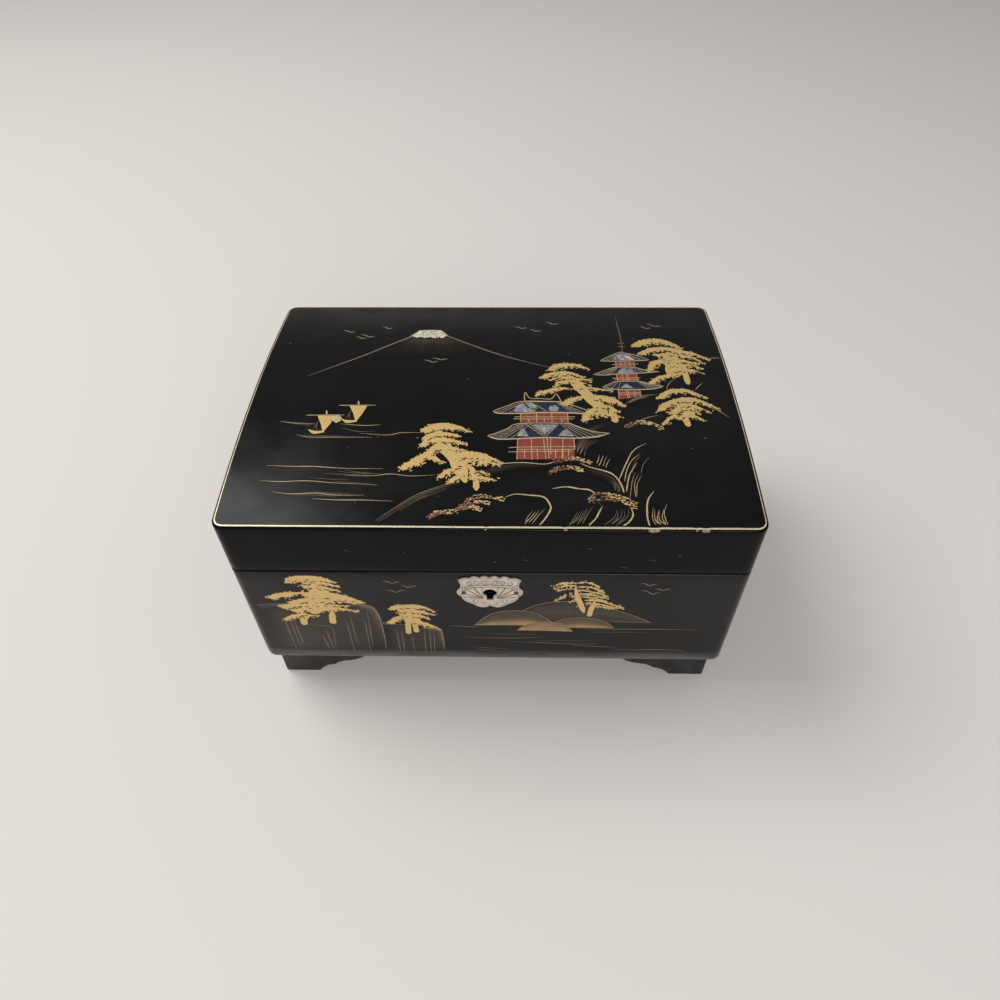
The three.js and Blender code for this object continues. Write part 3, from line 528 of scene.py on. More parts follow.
def case_profile(wall_rows=10):
    """Insets and heights round the arris under the board, up the outside, over the rim and down the
    inside. The rim falls away outwards so that the seam shows as a dark line."""
    s, c = quarter(7)
    under = zip(UNDER_ARRIS * (1 - s), CASE_FOOT + UNDER_ARRIS * (1 - c))
    top = SEAM_LOW - SEAM_DROP - CASE_RIM
    wall = zip(np.zeros(wall_rows), np.linspace(CASE_FOOT + UNDER_ARRIS, top, wall_rows + 2)[1:-1])
    s, c = quarter(5)
    rim = zip(CASE_RIM * (1 - c), top + CASE_RIM * s)
    inner = [(BOARD - INNER_ARRIS, SEAM_LOW), (BOARD, SEAM_LOW - INNER_ARRIS), (BOARD, CASE_FOOT)]
    return [*under, *wall, *rim, *inner]


case_outline = Outline(case_stations())
profile = case_profile()
rings = np.array([case_outline.at(inset, height) for inset, height in profile])
grid = rings.transpose(1, 0, 2)
stations, levels = grid.shape[:2]
faces = ring_faces(stations, levels).tolist()
case_skin = place_mesh("case_skin", grid, faces, case_lacquer, "case")
# Painted highlights on the case: a grey band on the arris under the foot stands for the floor's reflection
# there, and a faint grey line along the rim below the seam stands for the lit edge under it.
height = grid[..., 2].ravel() - CASE_FOOT
painted_foot_highlight = np.exp(-(((height - 3.8) / 2.2) ** 2))
near_rim = SEAM_LOW - CASE_FOOT - height < SEAM_DROP + CASE_RIM
set_attribute(case_skin, "sheen_and_grey", painted_foot_highlight + 0.06 * near_rim)
print("case skin:", stations, "stations by", levels, "levels")

# %% [markdown]
# The lock is let into the front board, the hinge leaves into the back, and the keyhole goes right
# through. These are the only cuts in the skin, so a Boolean with a few plain cutters is the honest
# way: a joiner makes them with a chisel too.

# %% Cut the mortises and the keyhole
KEYHOLE_Z = 80.0
KEYHOLE_RADIUS, SLOT_HALF, SLOT_FOOT = 2.95, 1.4, -5.2
FIT = 0.3


def cutter_box(low, high):
    """Points and faces of a box, used only to cut with."""
    low, high = np.asarray(low, float), np.asarray(high, float)
    pick = np.array([[i >> 2 & 1, i >> 1 & 1, i & 1] for i in range(8)])
    faces = [[0, 1, 3, 2], [4, 6, 7, 5], [0, 4, 5, 1], [2, 3, 7, 6], [0, 2, 6, 4], [1, 5, 7, 3]]
    return np.where(pick, high, low), faces


def keyhole_outline(count=48):
    """The keyhole's edge, anticlockwise seen from the front: most of a circle, then the slot."""
    start = np.arcsin(SLOT_HALF / KEYHOLE_RADIUS)
    angle = np.linspace(start - np.pi / 2, 1.5 * np.pi - start, count)
    ring = KEYHOLE_RADIUS * np.column_stack([np.cos(angle), np.sin(angle)])
    return np.vstack([ring, [[-SLOT_HALF, SLOT_FOOT], [SLOT_HALF, SLOT_FOOT]]])


def cutter_keyhole(front, back):
    edge = keyhole_outline()
    ends = [
        np.column_stack([edge[:, 0], np.full(len(edge), y), edge[:, 1] + KEYHOLE_Z])
        for y in (back, front)
    ]
    return np.vstack(ends), tube_faces(2, len(edge))


def cut(made, cutters):
    """Subtracts each cutter from a piece and keeps the result as its mesh."""
    face_outward(made)
    for points, faces in cutters:
        tool = place_mesh("cutter", points, faces, lacquer, "case")
        face_outward(tool)
        modifier = made.modifiers.new("cut", "BOOLEAN")
        modifier.operation, modifier.solver, modifier.object = "DIFFERENCE", "EXACT", tool
        evaluated = made.evaluated_get(bpy.context.evaluated_depsgraph_get())
        mesh = bpy.data.meshes.new_from_object(evaluated)
        made.modifiers.remove(modifier)
        made.data = mesh
        bpy.data.objects.remove(tool)
    made.data.set_sharp_from_angle(angle=np.radians(35))


lock_low, lock_high = span("lock_case")
mortise = cutter_box(
    (lock_low[0] - FIT, lock_low[1] - FIT, lock_low[2] - FIT),
    (lock_high[0] + FIT, lock_high[1] + 2, SEAM_LOW + 2),
)
LEAF_DEEP, LEAF_FROM, STRIKE_DEEP = 1.5, 7.5, 1.8


def leaf_cutter(node, low, high):
    """The pocket for one hinge leaf, between two heights."""
    leaf_low, leaf_high = span(node)
    back = HALF[1] + MIDDLE_Y
    return cutter_box((leaf_low[0] - FIT, back - LEAF_FROM, low), (leaf_high[0] + FIT, back + 1, high))


case_pockets = [
    leaf_cutter(f"hinge_{side}_case_leaf", SEAM_LOW - LEAF_DEEP, SEAM_LOW + 1)
    for side in ("left", "right")
]
cut(case_skin, [cutter_keyhole(FRONT_Y - 2, lock_low[1] + 1), mortise, *case_pockets])
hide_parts("case_front", "case_back", "case_left", "case_right")
print("case skin after cutting:", len(case_skin.data.polygons), "faces")

# %% [markdown]
# ## The lid
# The lid is one skin too. Its arched top is a grid bent to the arch, with the grid's corners drawn
# in to the rounded corners; from the grid's edge the same profile idea goes over the arris, down the
# outside, under the rim and up the inside to the flat ceiling.

# %% Bend a grid into the arched top
TOP_STEP, TOP_ARRIS = 1.5, 1.1


def rounded_grid(inset):
    """A grid over the rounded rectangle. In each corner square, a point at (a, b) from the arc's
    centre moves to distance max(a, b), so squares round the corner become quarter circles."""
    half = HALF - inset
    x = np.linspace(-half[0], half[0], int(2 * half[0] / TOP_STEP))
    y = np.linspace(-half[1], half[1], int(2 * half[1] / TOP_STEP))
    flat = np.stack(np.meshgrid(x, y), -1)
    beyond = np.abs(flat) - (HALF - CORNER)
    corner = (beyond > 0).all(-1)
    a = beyond[corner]
    flat[corner] += np.sign(flat[corner]) * a * (a.max(-1) / np.hypot(*a.T) - 1)[:, None]
    return flat


flat = rounded_grid(TOP_ARRIS)
rows, columns = flat.shape[:2]
index = np.arange(rows * columns).reshape(rows, columns)
loop = np.concatenate([index[0, :-1], index[:-1, -1], index[-1, :0:-1], index[:0:-1, 0]])
top_points = np.column_stack([flat.reshape(-1, 2) + [0, MIDDLE_Y], np.zeros(flat.size // 2)])
top_points[:, 2] = arch(top_points[:, 1])
lid_outline = Outline(flat.reshape(-1, 2)[loop], TOP_ARRIS)

# %% Take the profile down the outside and up the inside
def lid_rings(wall_rows=8):
    """Rings from just outside the top's grid down to the seam and up to the ceiling."""
    edge = arch(lid_outline.at(0, 0)[:, 1])
    s, c = quarter(6)
    rings = [lid_outline.at(TOP_ARRIS * (1 - a), edge - TOP_ARRIS * (1 - b)) for a, b in zip(s[1:], c[1:])]
    top, foot = edge - TOP_ARRIS, SEAM_HIGH + LID_RIM
    rings += [lid_outline.at(0, top + (foot - top) * t) for t in np.linspace(0, 1, wall_rows)[1:]]
    s, c = quarter(5)
    rings += [lid_outline.at(LID_RIM * (1 - b), foot - LID_RIM * a) for a, b in zip(s[1:], c[1:])]
    inner = [(BOARD - INNER_ARRIS, SEAM_HIGH), (BOARD, SEAM_HIGH + INNER_ARRIS), (BOARD, CEILING)]
    return rings + [lid_outline.at(inset, height) for inset, height in inner]


quads = np.stack([index[:-1, :-1], index[:-1, 1:], index[1:, 1:], index[1:, :-1]], -1).reshape(-1, 4)
skirt = lid_rings()
ring_index = np.vstack([loop, rows * columns + np.arange(len(skirt) * len(loop)).reshape(len(skirt), -1)])
after = np.roll(ring_index, -1, axis=1)
walls = np.stack([ring_index[:-1], ring_index[1:], after[1:], after[:-1]], -1).reshape(-1, 4)
lid_faces = quads.tolist() + walls.tolist() + [ring_index[-1].tolist()]
lid_skin = place_mesh("lid_skin", np.vstack([top_points, *skirt]), lid_faces, lacquer, "lid")
lid_skin.data.materials.append(wall_lacquer)
lid_skin.data.polygons.foreach_set("material_index", np.arange(len(lid_faces)) >= len(quads))
# Grey, rougher patches on the lid top. The large one at the front left corner is a painted sheen. The rest
# grey the lacquer a little everywhere, along the back and in two small places.
LID_SHEEN_AND_GREY_PATCHES = [(0.20, -98, -66, 42, 34), (0.19, -70, 80, 110, 22), (0.035, 76, -22, 36, 30),
           (0.03, 20, -66, 60, 14)]
lid_sheen_and_grey = 0.016 + sum(
    share * np.exp(-(((top_points[:, 0] - x) / wide) ** 2) - ((top_points[:, 1] - y) / deep) ** 2)
    for share, x, y, wide, deep in LID_SHEEN_AND_GREY_PATCHES
)
set_attribute(lid_skin, "sheen_and_grey", np.r_[lid_sheen_and_grey, np.zeros(len(skirt) * len(loop))])
strike_low, strike_high = span("lock_strike")
strike_pocket = cutter_box(
    (strike_low[0] - FIT, strike_low[1] - FIT, SEAM_HIGH - 2),
    (strike_high[0] + FIT, strike_high[1] + 2, SEAM_HIGH + STRIKE_DEEP),
)
lid_pockets = [
    leaf_cutter(f"hinge_{side}_lid_leaf", SEAM_HIGH - 1, SEAM_HIGH + LEAF_DEEP)
    for side in ("left", "right")
]
cut(lid_skin, [strike_pocket, *lid_pockets])
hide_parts("lid_top", "lid_front", "lid_back", "lid_left", "lid_right")
print("lid skin:", len(lid_skin.data.polygons), "faces")

# %% [markdown]
# ## The gold border
# A fine gold line runs round the lid just inside its arris. It is drawn with a brush, so its width
# wavers. It is broadest along the front, and thinner where the front edge was knocked.

# %% Draw the border on the lid
BORDER_INSET = 1.0
BORDER_WIDE, BORDER_NARROW = 0.82, 0.42
SUNK = -0.03
BORDER_SECTION = [(0, SUNK), (0.1, 0.035), (0.5, 0.045), (0.9, 0.035), (1, SUNK), (1, -0.1), (0, -0.1)]
KNOCKS = [(67.2, 2.4), (88.0, 1.6), (84.5, 0.6), (31.5, 0.8), (-1.0, 0.5)]


def border_points(seed=4):
    """Rings across the border: its two rims are sunk below the skin and its middle stands proud."""
    rng = np.random.default_rng(seed)
    at = lid_outline.at(0, 0)
    waver = np.convolve(rng.normal(0, 1, len(at) + 24), np.ones(25) / 5, "valid")[: len(at)]
    front = np.clip((FRONT_Y + CORNER - at[:, 1]) / CORNER, 0, 1)
    worn = sum(np.exp(-(((at[:, 0] - x) / wide) ** 4)) for x, wide in KNOCKS) * front
    width = BORDER_NARROW + (BORDER_WIDE - BORDER_NARROW) * front
    width *= (1 + 0.06 * waver) * (1 - 0.4 * worn)
    columns = []
    for across, rise in BORDER_SECTION:
        inset = BORDER_INSET + width * across
        place = lid_outline.skeleton + lid_outline.outward * (CORNER - inset)[:, None]
        y = place[:, 1] + MIDDLE_Y
        columns.append(np.column_stack([place[:, 0], y, arch(y) + rise]))
    return np.array(columns).transpose(1, 0, 2)


border = border_points()
border_faces = ring_faces(*border.shape[:2]).tolist()
place_mesh("lid_border", border, border_faces, gold_border, "lid")

# %% [markdown]
# ## Painting with geometry
# Gold is laid on thickly enough to catch the light at its edges, so the picture is real: thin pads
# pressed onto the arched top or the flat front. Four forms do everything: a stroke along a line, a
# patch between two lines, a slip with corners, and small dabs. A wash is a very thin patch whose
# amount of gold powder changes across it, held as an attribute that the lacquer's finish reads.

# %% Curves and the two surfaces that carry paint
def on_lid(flat, rise):
    """Picture points (x, y) carried up to the arched top, and rise above it."""
    return np.stack([flat[..., 0], flat[..., 1], arch(flat[..., 1]) + rise], -1)


def on_front(flat, rise):
    """Picture points (x, z) carried to the front face, and rise out of it."""
    return np.stack([flat[..., 0], np.broadcast_to(FRONT_Y - rise, flat.shape[:-1]), flat[..., 1]], -1)


def smooth(points, count):
    """count points along a Catmull-Rom curve that passes through the given ones."""
    p = np.asarray(points, float)
    p = np.vstack([2 * p[0] - p[1], p, 2 * p[-1] - p[-2]])
    t = np.linspace(0, len(p) - 3, count)
    i = np.clip(t.astype(int), 0, len(p) - 4)
    f = (t - i)[:, None]
    a, b, c, d = p[i], p[i + 1], p[i + 2], p[i + 3]
    return 0.5 * (2 * b + (c - a) * f + (2 * a - 5 * b + 4 * c - d) * f**2 + (3 * b - a - 3 * c + d) * f**3)


def along(corners, count):
    """count points spaced evenly along a polyline."""
    corners = np.asarray(corners, float)
    length = np.r_[0, np.cumsum(np.hypot(*np.diff(corners, axis=0).T))]
    t = np.linspace(0, length[-1], count)
    return np.column_stack([np.interp(t, length, corners[:, k]) for k in (0, 1)])


def sideways(line):
    """Unit directions to the left of a line."""
    ahead = np.gradient(line, axis=0)
    ahead /= np.maximum(np.linalg.norm(ahead, axis=1, keepdims=True), 1e-9)
    return np.column_stack([-ahead[:, 1], ahead[:, 0]])


# %% A picture gathers the pads of one paint
class Picture:
    """Strokes, patches, slips and dabs in one paint on one surface."""

    def __init__(self, surface, thick=0.05, seed=1):
        self.surface, self.thick = surface, thick
        self.rng = np.random.default_rng(seed)
        self.points, self.faces, self.dust, self.total = [], [], [], 0

    def add(self, flat, rise, faces, dust=0.0):
        self.faces += [[v + self.total for v in face] for face in faces]
        self.points.append(self.surface(flat, np.broadcast_to(rise, flat.shape[:-1])).reshape(-1, 3))
        self.dust.append(np.broadcast_to(dust, flat.shape[:-1]).ravel())
        self.total += flat.size // 2

    def patch(self, right, left, rows=4, dust=0.0):
        """A pad between two lines of equal length. Its rim is sunk, and no two pads lie quite level."""
        v = np.r_[0, np.linspace(0.04, 0.96, rows - 2), 1]
        flat = right[:, None] + (left - right)[:, None] * v[:, None]
        top = self.thick * self.rng.uniform(0.82, 1)
        self.add(flat, np.where((v == 0) | (v == 1), SUNK, top), tube_faces(*flat.shape[:2]), dust)

    def stroke(self, points, width, count=None, taper=(0.12, 0.12), waver=0.12):
        """A pad along a curve, as wide as a brush mark of width and thin at its two ends."""
        line = smooth(points, count or 6 + 5 * len(points))
        t = np.linspace(0, 1, len(line))
        ends = np.minimum((t + 0.01) / max(taper[0], 0.01), (1.01 - t) / max(taper[1], 0.01))
        half = width / 2 * np.clip(ends, 0.08, 1) ** 0.6
        half *= 1 + waver * np.interp(t, np.linspace(0, 1, 9), self.rng.uniform(-1, 1, 9))
        side = sideways(line) * half[:, None]
        self.patch(line - side, line + side)

    def polygon(self, lower, upper, count=14, rows=7):
        """A patch between two polylines given corner by corner."""
        self.patch(along(lower, count), along(upper, count), rows)

    def slip(self, corners):
        """A flat piece with the given corners, anticlockwise, its edge bevelled."""
        outer = np.asarray(corners, float)
        if np.cross(outer - outer[0], np.roll(outer, -1, 0) - outer[0]).sum() < 0:
            outer = outer[::-1]
        count, middle = len(outer), outer.mean(0)
        flat = np.vstack([outer, middle + 0.94 * (outer - middle)])
        sides = [[k, (k + 1) % count, (k + 1) % count + count, k + count] for k in range(count)]
        faces = sides + [list(range(count, 2 * count)), list(range(count))[::-1]]
        self.add(flat, np.r_[np.full(count, SUNK), np.full(count, self.thick)], faces)

    def dabs(self, centres, length, width, angle, spread=0.35):
        """Small touches of the brush, each a low six-sided pad. angle is one number or one for each."""
        centres = np.asarray(centres, float)
        count = len(centres)
        turn = np.linspace(0, 2 * np.pi, 6, endpoint=False)
        sizes = self.rng.uniform(1 - spread, 1 + spread, (count, 1))
        tilt = np.broadcast_to(angle, count)[:, None] + self.rng.uniform(-0.45, 0.45, (count, 1))
        u, v = sizes * length / 2 * np.cos(turn), sizes * width / 2 * np.sin(turn)
        rim = np.stack([u * np.cos(tilt) - v * np.sin(tilt), u * np.sin(tilt) + v * np.cos(tilt)], -1)
        flat = np.concatenate([centres[:, None] + rim, centres[:, None] + 0.85 * rim], 1)
        top = self.thick * self.rng.uniform(0.8, 1, (count, 1))
        rise = np.where(np.arange(12) < 6, SUNK, top)
        one = [[k, (k + 1) % 6, (k + 1) % 6 + 6, k + 6] for k in range(6)]
        one += [[6, 7, 8, 9, 10, 11], [5, 4, 3, 2, 1, 0]]
        self.add(flat, rise, [[12 * n + v for v in face] for n in range(count) for face in one])

    def make(self, name, finish, body, sharp=12):
        made = place_mesh(name, np.vstack(self.points), self.faces, finish, body, sharp)
        dust = np.concatenate(self.dust)
        if dust.any():
            set_attribute(made, "gold_dust", dust)
        return made


def wash(picture, lower, upper, dust, count=60, rows=12):
    """A thin wash between two curves. dust(t, v) is how much gold lies at t along and v across."""
    t, v = np.meshgrid(np.linspace(0, 1, count), np.linspace(0, 1, rows), indexing="ij")
    picture.patch(smooth(lower, count), smooth(upper, count), rows, dust(t, v))


# %% [markdown]
# ## Pines in gold
# A pine is drawn the same way everywhere in this picture: a leaning trunk, one broad stroke for the
# mass of the crown, and tiers of foliage that arch over it. A tier is smooth above and ends in
# leaves below, with loose touches round it and short dark gaps along its foot.

# %% One tier of foliage and a whole pine
LEAF = 1.05


def tier(leaves, gaps, points, thick):
    """Foliage hung from an arched curve that runs left to right, pointed at its right end."""
    rng = leaves.rng
    line = smooth(points, 40 + 34 * len(points))
    t = np.linspace(0, 1, len(line))
    run = np.r_[0, np.cumsum(np.hypot(*np.diff(line, axis=0).T))]
    side = sideways(line)
    tilt = np.arctan2(-side[:, 0], side[:, 1])
    body = thick * np.clip(np.minimum((t + 0.02) / 0.12, (1.03 - t) / 0.45), 0, 1) ** 0.7
    body *= 1 + 0.14 * np.sin(run * 1.9 + thick)
    tooth = run / LEAF + 0.35 * np.sin(run * 1.7)
    depth = rng.uniform(0.1, 1.0, int(tooth.max()) + 3)[np.clip(tooth, 0, None).astype(int)]
    saw = np.abs((tooth % 1) - 0.5) * 2
    lower = line - side * (0.86 * body - 0.6 + 1.5 * saw * depth)[:, None]
    upper = line + side * (0.5 * depth * (1 - 2 * np.abs((run / 0.8) % 1 - 0.5)) - 0.15)[:, None]
    leaves.patch(lower, upper, 4)
    for edge, gap, reach, size in ((lower, 0.95, (-0.5, 0.65), 1.35), (upper, 1.5, (-0.25, 0.4), 1.05)):
        count = int(run[-1] / gap)
        pick = rng.integers(3, len(line) - 3, count)
        away = rng.uniform(*reach, (count, 1)) * (-1 if edge is lower else 1)
        leaves.dabs(edge[pick] + side[pick] * away, size, 0.5, tilt[pick] + rng.normal(0, 0.5, count))
    for end, out, count in ((2, -1, 5), (-3, 1, 3)):
        near = line[end] + rng.uniform(-1.4, 0.5, (count, 1)) * [out, -0.3] + rng.normal(0, 0.55, (count, 2))
        leaves.dabs(near, 1.25, 0.55, tilt[end] + rng.normal(0, 0.5, count))
    count = int(run[-1] / 1.35)
    pick = (np.linspace(0.1, 0.9, count) * len(line) + rng.normal(0, 1.5, count)).astype(int)
    pick = pick[(np.sin(run[pick] * 0.7 + 2 * thick) > -0.6) & (rng.uniform(0, 1, count) < 0.92)]
    inside = rng.uniform(-0.3, 0.5, (len(pick), 1))
    gaps.dabs(lower[pick] + side[pick] * inside, 1.7, 0.6, tilt[pick], 0.45)


def pine(leaves, gaps, trunk, core, tiers, width=3.0, legs=()):
    """The crown's mass (a curve and its width), the tiers (curves and thicknesses), then the trunk."""
    leaves.stroke(core[0], core[1], 40, taper=(0.2, 0.25), waver=0.2)
    for points, thick in tiers:
        tier(leaves, gaps, points, thick)
    for line in (trunk, *legs):
        leaves.stroke(line, width, 50, taper=(0.12, 0.3), waver=0.08)


# %% The pines on the lid
lid_gold, lid_gaps = Picture(on_lid, 0.05, 11), Picture(on_lid, 0.08, 12)
pine(
    lid_gold, lid_gaps,
    [(-5.3, -61.8), (-5.8, -56), (-7.5, -50.5), (-10, -47.5)],
    ([(-10, -57.5), (-12.5, -50.5), (-16, -43.5), (-20.5, -37), (-22.5, -31), (-23, -27)], 6.4),
    [
        ([(-32, -27.3), (-29, -24.2), (-25.5, -22.6), (-21, -22.1), (-17, -23), (-13, -24.9), (-9, -27.8)],
         5.6),
        ([(-31, -32), (-26.5, -28.5), (-19.5, -28.2), (-13, -30.6)], 3.8),
        ([(-31.5, -37), (-29.5, -33), (-24, -31.6), (-17, -32.4), (-10, -35.6)], 4.4),
        ([(-29, -41.5), (-25.5, -36.8), (-19, -36.4), (-11.5, -39)], 4.4),
        ([(-39, -50.3), (-37.5, -47.3), (-35, -45.6), (-32, -42.8), (-28, -41.2), (-23.5, -43.2),
          (-20, -46.8)], 5.2),
        ([(-17, -41.5), (-11.5, -39.8), (-5.5, -40.2), (0, -42.6), (5, -46.2)], 5.4),
        ([(-16, -45.5), (-9, -44.4), (-2, -45), (5, -47.8)], 3.8),
        ([(-9, -52), (-4, -51), (-0.3, -53)], 2.0),
        ([(-9, -55), (-3, -54.2), (3.2, -56.2)], 2.2),
        ([(-22.5, -54.6), (-20.5, -52), (-17, -49.8), (-11, -48.8)], 3.6),
        ([(-17.5, -57.2), (-15.5, -54.4), (-10, -53)], 3.2),
    ],
    2.7,
)
pine(
    lid_gold, lid_gaps,
    [(56.4, -21.6), (55.6, -16), (54.3, -12)],
    ([(52.5, -18.5), (50.5, -12), (46, -5), (42, 2), (38, 9), (34.5, 16)], 5.6),
    [
        ([(26.3, 16.6), (28.5, 20), (32.5, 22), (37.5, 22.3), (42, 21.1), (47.2, 17.2)], 4.8),
        ([(22.5, 10), (24.5, 13), (27.5, 14.4), (31.5, 15.4), (37, 15.2), (41, 13), (44.3, 10.5)], 4.2),
        ([(27, 8.5), (30, 11), (36, 11.4), (43, 9.6), (47.6, 8.4)], 2.6),
        ([(29.5, 3.5), (30.5, 7.2), (36, 8.4), (43.5, 6.8), (47, 4.2)], 3.0),
        ([(20, -3.2), (21.5, -0.4), (25, 1), (29.5, 2.6), (34, 3.1), (39, 1.8)], 3.2),
        ([(40, 4), (46, 3.3), (51, 2.3), (57, 0.4)], 2.6),
        ([(45, -2.8), (50.5, -2.6), (55.5, -4), (59, -6.6), (62, -10.8)], 5.6),
        ([(32, -9.2), (34.2, -6.6), (38, -4.2), (44, -3)], 4.4),
        ([(41, -20.8), (41.8, -16), (45.5, -12.2), (50, -10.8)], 4.6),
        ([(45, -15.5), (50, -14.2), (54, -15.5), (59, -18)], 3.4),
        ([(50, -10.5), (54.5, -10.2), (58.8, -14.8)], 3.0),
    ],
    3.2,
)
pine(
    lid_gold, lid_gaps,
    [(93, 5.4), (92.8, 12), (92.3, 19), (89.5, 26)],
    ([(88, 11), (87.6, 17), (88, 24), (86.5, 32)], 9.0),
    [
        ([(69.3, 37.4), (72, 41.4), (77, 43.9), (82.5, 44.6), (87.5, 42.8), (91.5, 39), (94.5, 35)], 6.0),
        ([(71.5, 30.5), (75, 33.8), (80, 36.2), (87, 36.5), (92.5, 34.5), (98.5, 32), (103, 28.6),
          (107.2, 25.3)], 4.6),
        ([(79, 30), (88, 31), (94, 29.8), (99.5, 27), (103.6, 21.8)], 3.4),
        ([(74.5, 16), (76, 21.2), (79, 24.6), (86, 26.2), (94, 25.2), (101, 21.6)], 5.0),
        ([(84, 21), (92, 21.6), (97.5, 20.8), (102.3, 17.6)], 2.6),
        ([(86, 17.4), (93, 17.6), (98, 16.8), (101.7, 13.8)], 2.4),
        ([(74.3, 5.8), (77, 10), (82, 12.8), (88, 14.2), (93, 13)], 3.8),
    ],
    3.0,
)
pine(
    lid_gold, lid_gaps,
    [(88.9, -24), (88.2, -19.5), (87.8, -14)],
    ([(90.5, -18), (90, -11), (88.5, -4)], 5.4),
    [
        ([(76.5, -4.8), (80, -0.6), (83.5, 1.5), (88, 2.2), (92, 1.7), (96.5, -1.5), (101, -4.8)], 4.2),
        ([(76, -13.8), (78, -9.6), (82, -6.6), (88, -4.4), (94, -4.4), (100, -8.2), (105, -12.4)], 4.6),
        ([(85, -9.4), (93, -9.4), (100.5, -14.8)], 2.8),
        ([(81, -15), (86, -10.4), (92, -10.6), (95.5, -16)], 4.2),
        ([(76.8, -22.8), (79.5, -19), (83.5, -15.5), (88.5, -13)], 2.6),
        ([(83.5, -18.6), (88, -15.8), (93, -16.6), (96.6, -20)], 3.4),
    ],
    2.8,
)

# %% A few touches of green gold
lid_green = Picture(on_lid, 0.085, 18)
green = lid_green.rng.normal(0, 1, (26, 2)) * [2.6, 1.3] + [85, 24.5]
lid_green.dabs(green, 1.5, 0.55, 0.1)

# %% [markdown]
# ## The rest of the landscape
# Bushes are crowded touches, red-brown to the left and below, gold above. Far shores and ripples are
# single hairs that fade at both ends. Rocks are a firm edge with a few parallel strokes inside it.

# %% Bushes of gold and red touches
lid_red_gold, lid_cream = Picture(on_lid, 0.07, 5), Picture(on_lid, 0.1, 6)


def bush(points, thick, red_share=0.5, count=84):
    """Touches crowded round a short curve that runs left to right, in a few level layers."""
    rng = lid_gold.rng
    line = smooth(points, 60)
    t = rng.uniform(0, 1, count)
    up = np.round(rng.uniform(-1.5, 1.5, count)) / 1.5 + rng.normal(0, 0.12, count)
    centres = line[(t * 59).astype(int)] + np.column_stack([rng.normal(0, 0.5, count), up * thick / 2.2])
    red = t - 0.35 * (1 - up) / 2 < red_share * rng.uniform(0.3, 1.1, count)
    lid_red_gold.dabs(centres[red], 1.25, 0.48, 0.35)
    lid_gold.dabs(centres[~red], 1.35, 0.48, -0.2)
    lid_cream.dabs(centres[::6] + [0.2, 0.25], 0.8, 0.3, 0.3)
    lid_gaps.dabs(centres[3::4] + [0.5, -0.4], 0.9, 0.34, 0.1)


bush([(60.3, -24.5), (63.5, -22.4), (68, -21.4), (72.5, -22), (76.8, -25)], 3.2, 0.36, 110)
bush([(28, -45.6), (32, -44.4), (36, -43.8), (39.5, -44.2), (43.6, -46)], 2.6, 0.5)
bush([(26.3, -52), (29, -50), (33, -48.9), (36.5, -49.2), (40, -50.6)], 2.6, 0.5)
bush([(42, -65.6), (47.5, -64.4), (54, -65.4), (61.5, -69.2)], 5.0, 0.4, 150)
bush([(-24.7, -75.8), (-22, -74), (-18.5, -72.9), (-13, -72.6)], 2.4, 0.75)
bush([(-14.5, -72.2), (-10, -70.8), (-6.5, -70.2), (-3.5, -71.6)], 2.2, 0.35)
bush([(-9, -67.2), (-6.5, -65.4), (-3, -64.9), (1.5, -64.8), (7, -66.6)], 2.6, 0.5)
bush([(-12.5, -69.8), (-8, -68.8), (-4, -67.6), (0.8, -68.4)], 1.8, 0.55, 56)

# %% The mountain's slopes, shores, ripples and birds
lid_lines, lid_faint, lid_dim = Picture(on_lid, 0.05, 7), Picture(on_lid, 0.045, 8), Picture(on_lid, 0.04, 9)
HAIR, FINE, FIRM = 0.26, 0.34, 0.66
LEFT_SLOPE = [(-90, 11.5), (-79, 19), (-65.5, 28.5), (-53, 38.5), (-43, 46.5)]
RIGHT_SLOPE = [(-25, 47.5), (-13.5, 39.5), (3, 29.5), (17, 23), (27, 19)]
lid_dim.stroke(LEFT_SLOPE, 0.84, 60, (0.95, 0.02))
lid_dim.stroke(RIGHT_SLOPE, 0.76, 60, (0.02, 0.9))
RIPPLES = [
    [(-96.5, -21.5), (-90, -22.5), (-80, -23)],
    [(-68.5, -23), (-58, -24), (-50, -23.5)],
    [(-87.5, -30), (-81, -31.5), (-68, -31.5), (-53, -31.5)],
    [(-59, -29), (-46.5, -30), (-40, -28.5), (-30.5, -28.5)],
    [(-97, -48.5), (-86, -49), (-76, -49), (-62, -50), (-46, -50)],
    [(-62, -54), (-50.5, -54), (-42.5, -53), (-34, -54), (-23.5, -53.5)],
    [(-98, -57), (-89, -57.5), (-78, -57), (-66, -58), (-47.5, -59)],
    [(-91.5, -63), (-83.5, -64), (-73, -63.5), (-65, -64.5), (-52.5, -64.5)],
    [(-74, -66.5), (-63.5, -67), (-53, -67), (-40, -67.5)],
]
FAINT_RIPPLES = [
    [(-68, -25.5), (-60, -27.8), (-52, -27.5)], [(-84, -30.2), (-76, -30.8), (-66, -30.6)],
    [(-65.5, -51.5), (-58, -52.5), (-50.5, -52)], [(-78.5, -55), (-68, -56), (-60, -56)],
    [(-92, -22.6), (-86, -23.6), (-80, -23.8)], [(-72, -52.8), (-60, -53.4), (-50, -53)],
    [(-84, -64.6), (-74, -64.5), (-64, -65.4)], [(-66, -57), (-58, -58), (-50, -58.2)],
    [(-62, -51), (-54, -52.6), (-46, -52.8)], [(-74, -62.6), (-66, -63.6), (-58, -63.6)],
]
for ripple in RIPPLES:
    lid_lines.stroke(ripple, FINE, 60, (0.5, 0.6), 0.2)
for ripple in FAINT_RIPPLES:
    lid_faint.stroke(ripple, HAIR, 30, (0.4, 0.4), 0.3)


def bird(picture, left, middle, right, width=0.5):
    """Two short wing strokes that meet at a low body."""
    left, middle, right = np.array([left, middle, right], float)
    for tip in (left, right):
        shoulder = (tip + middle) / 2 + [0, 0.5]
        picture.stroke([tip, shoulder, middle], width, 12, (0.6, 0.1))


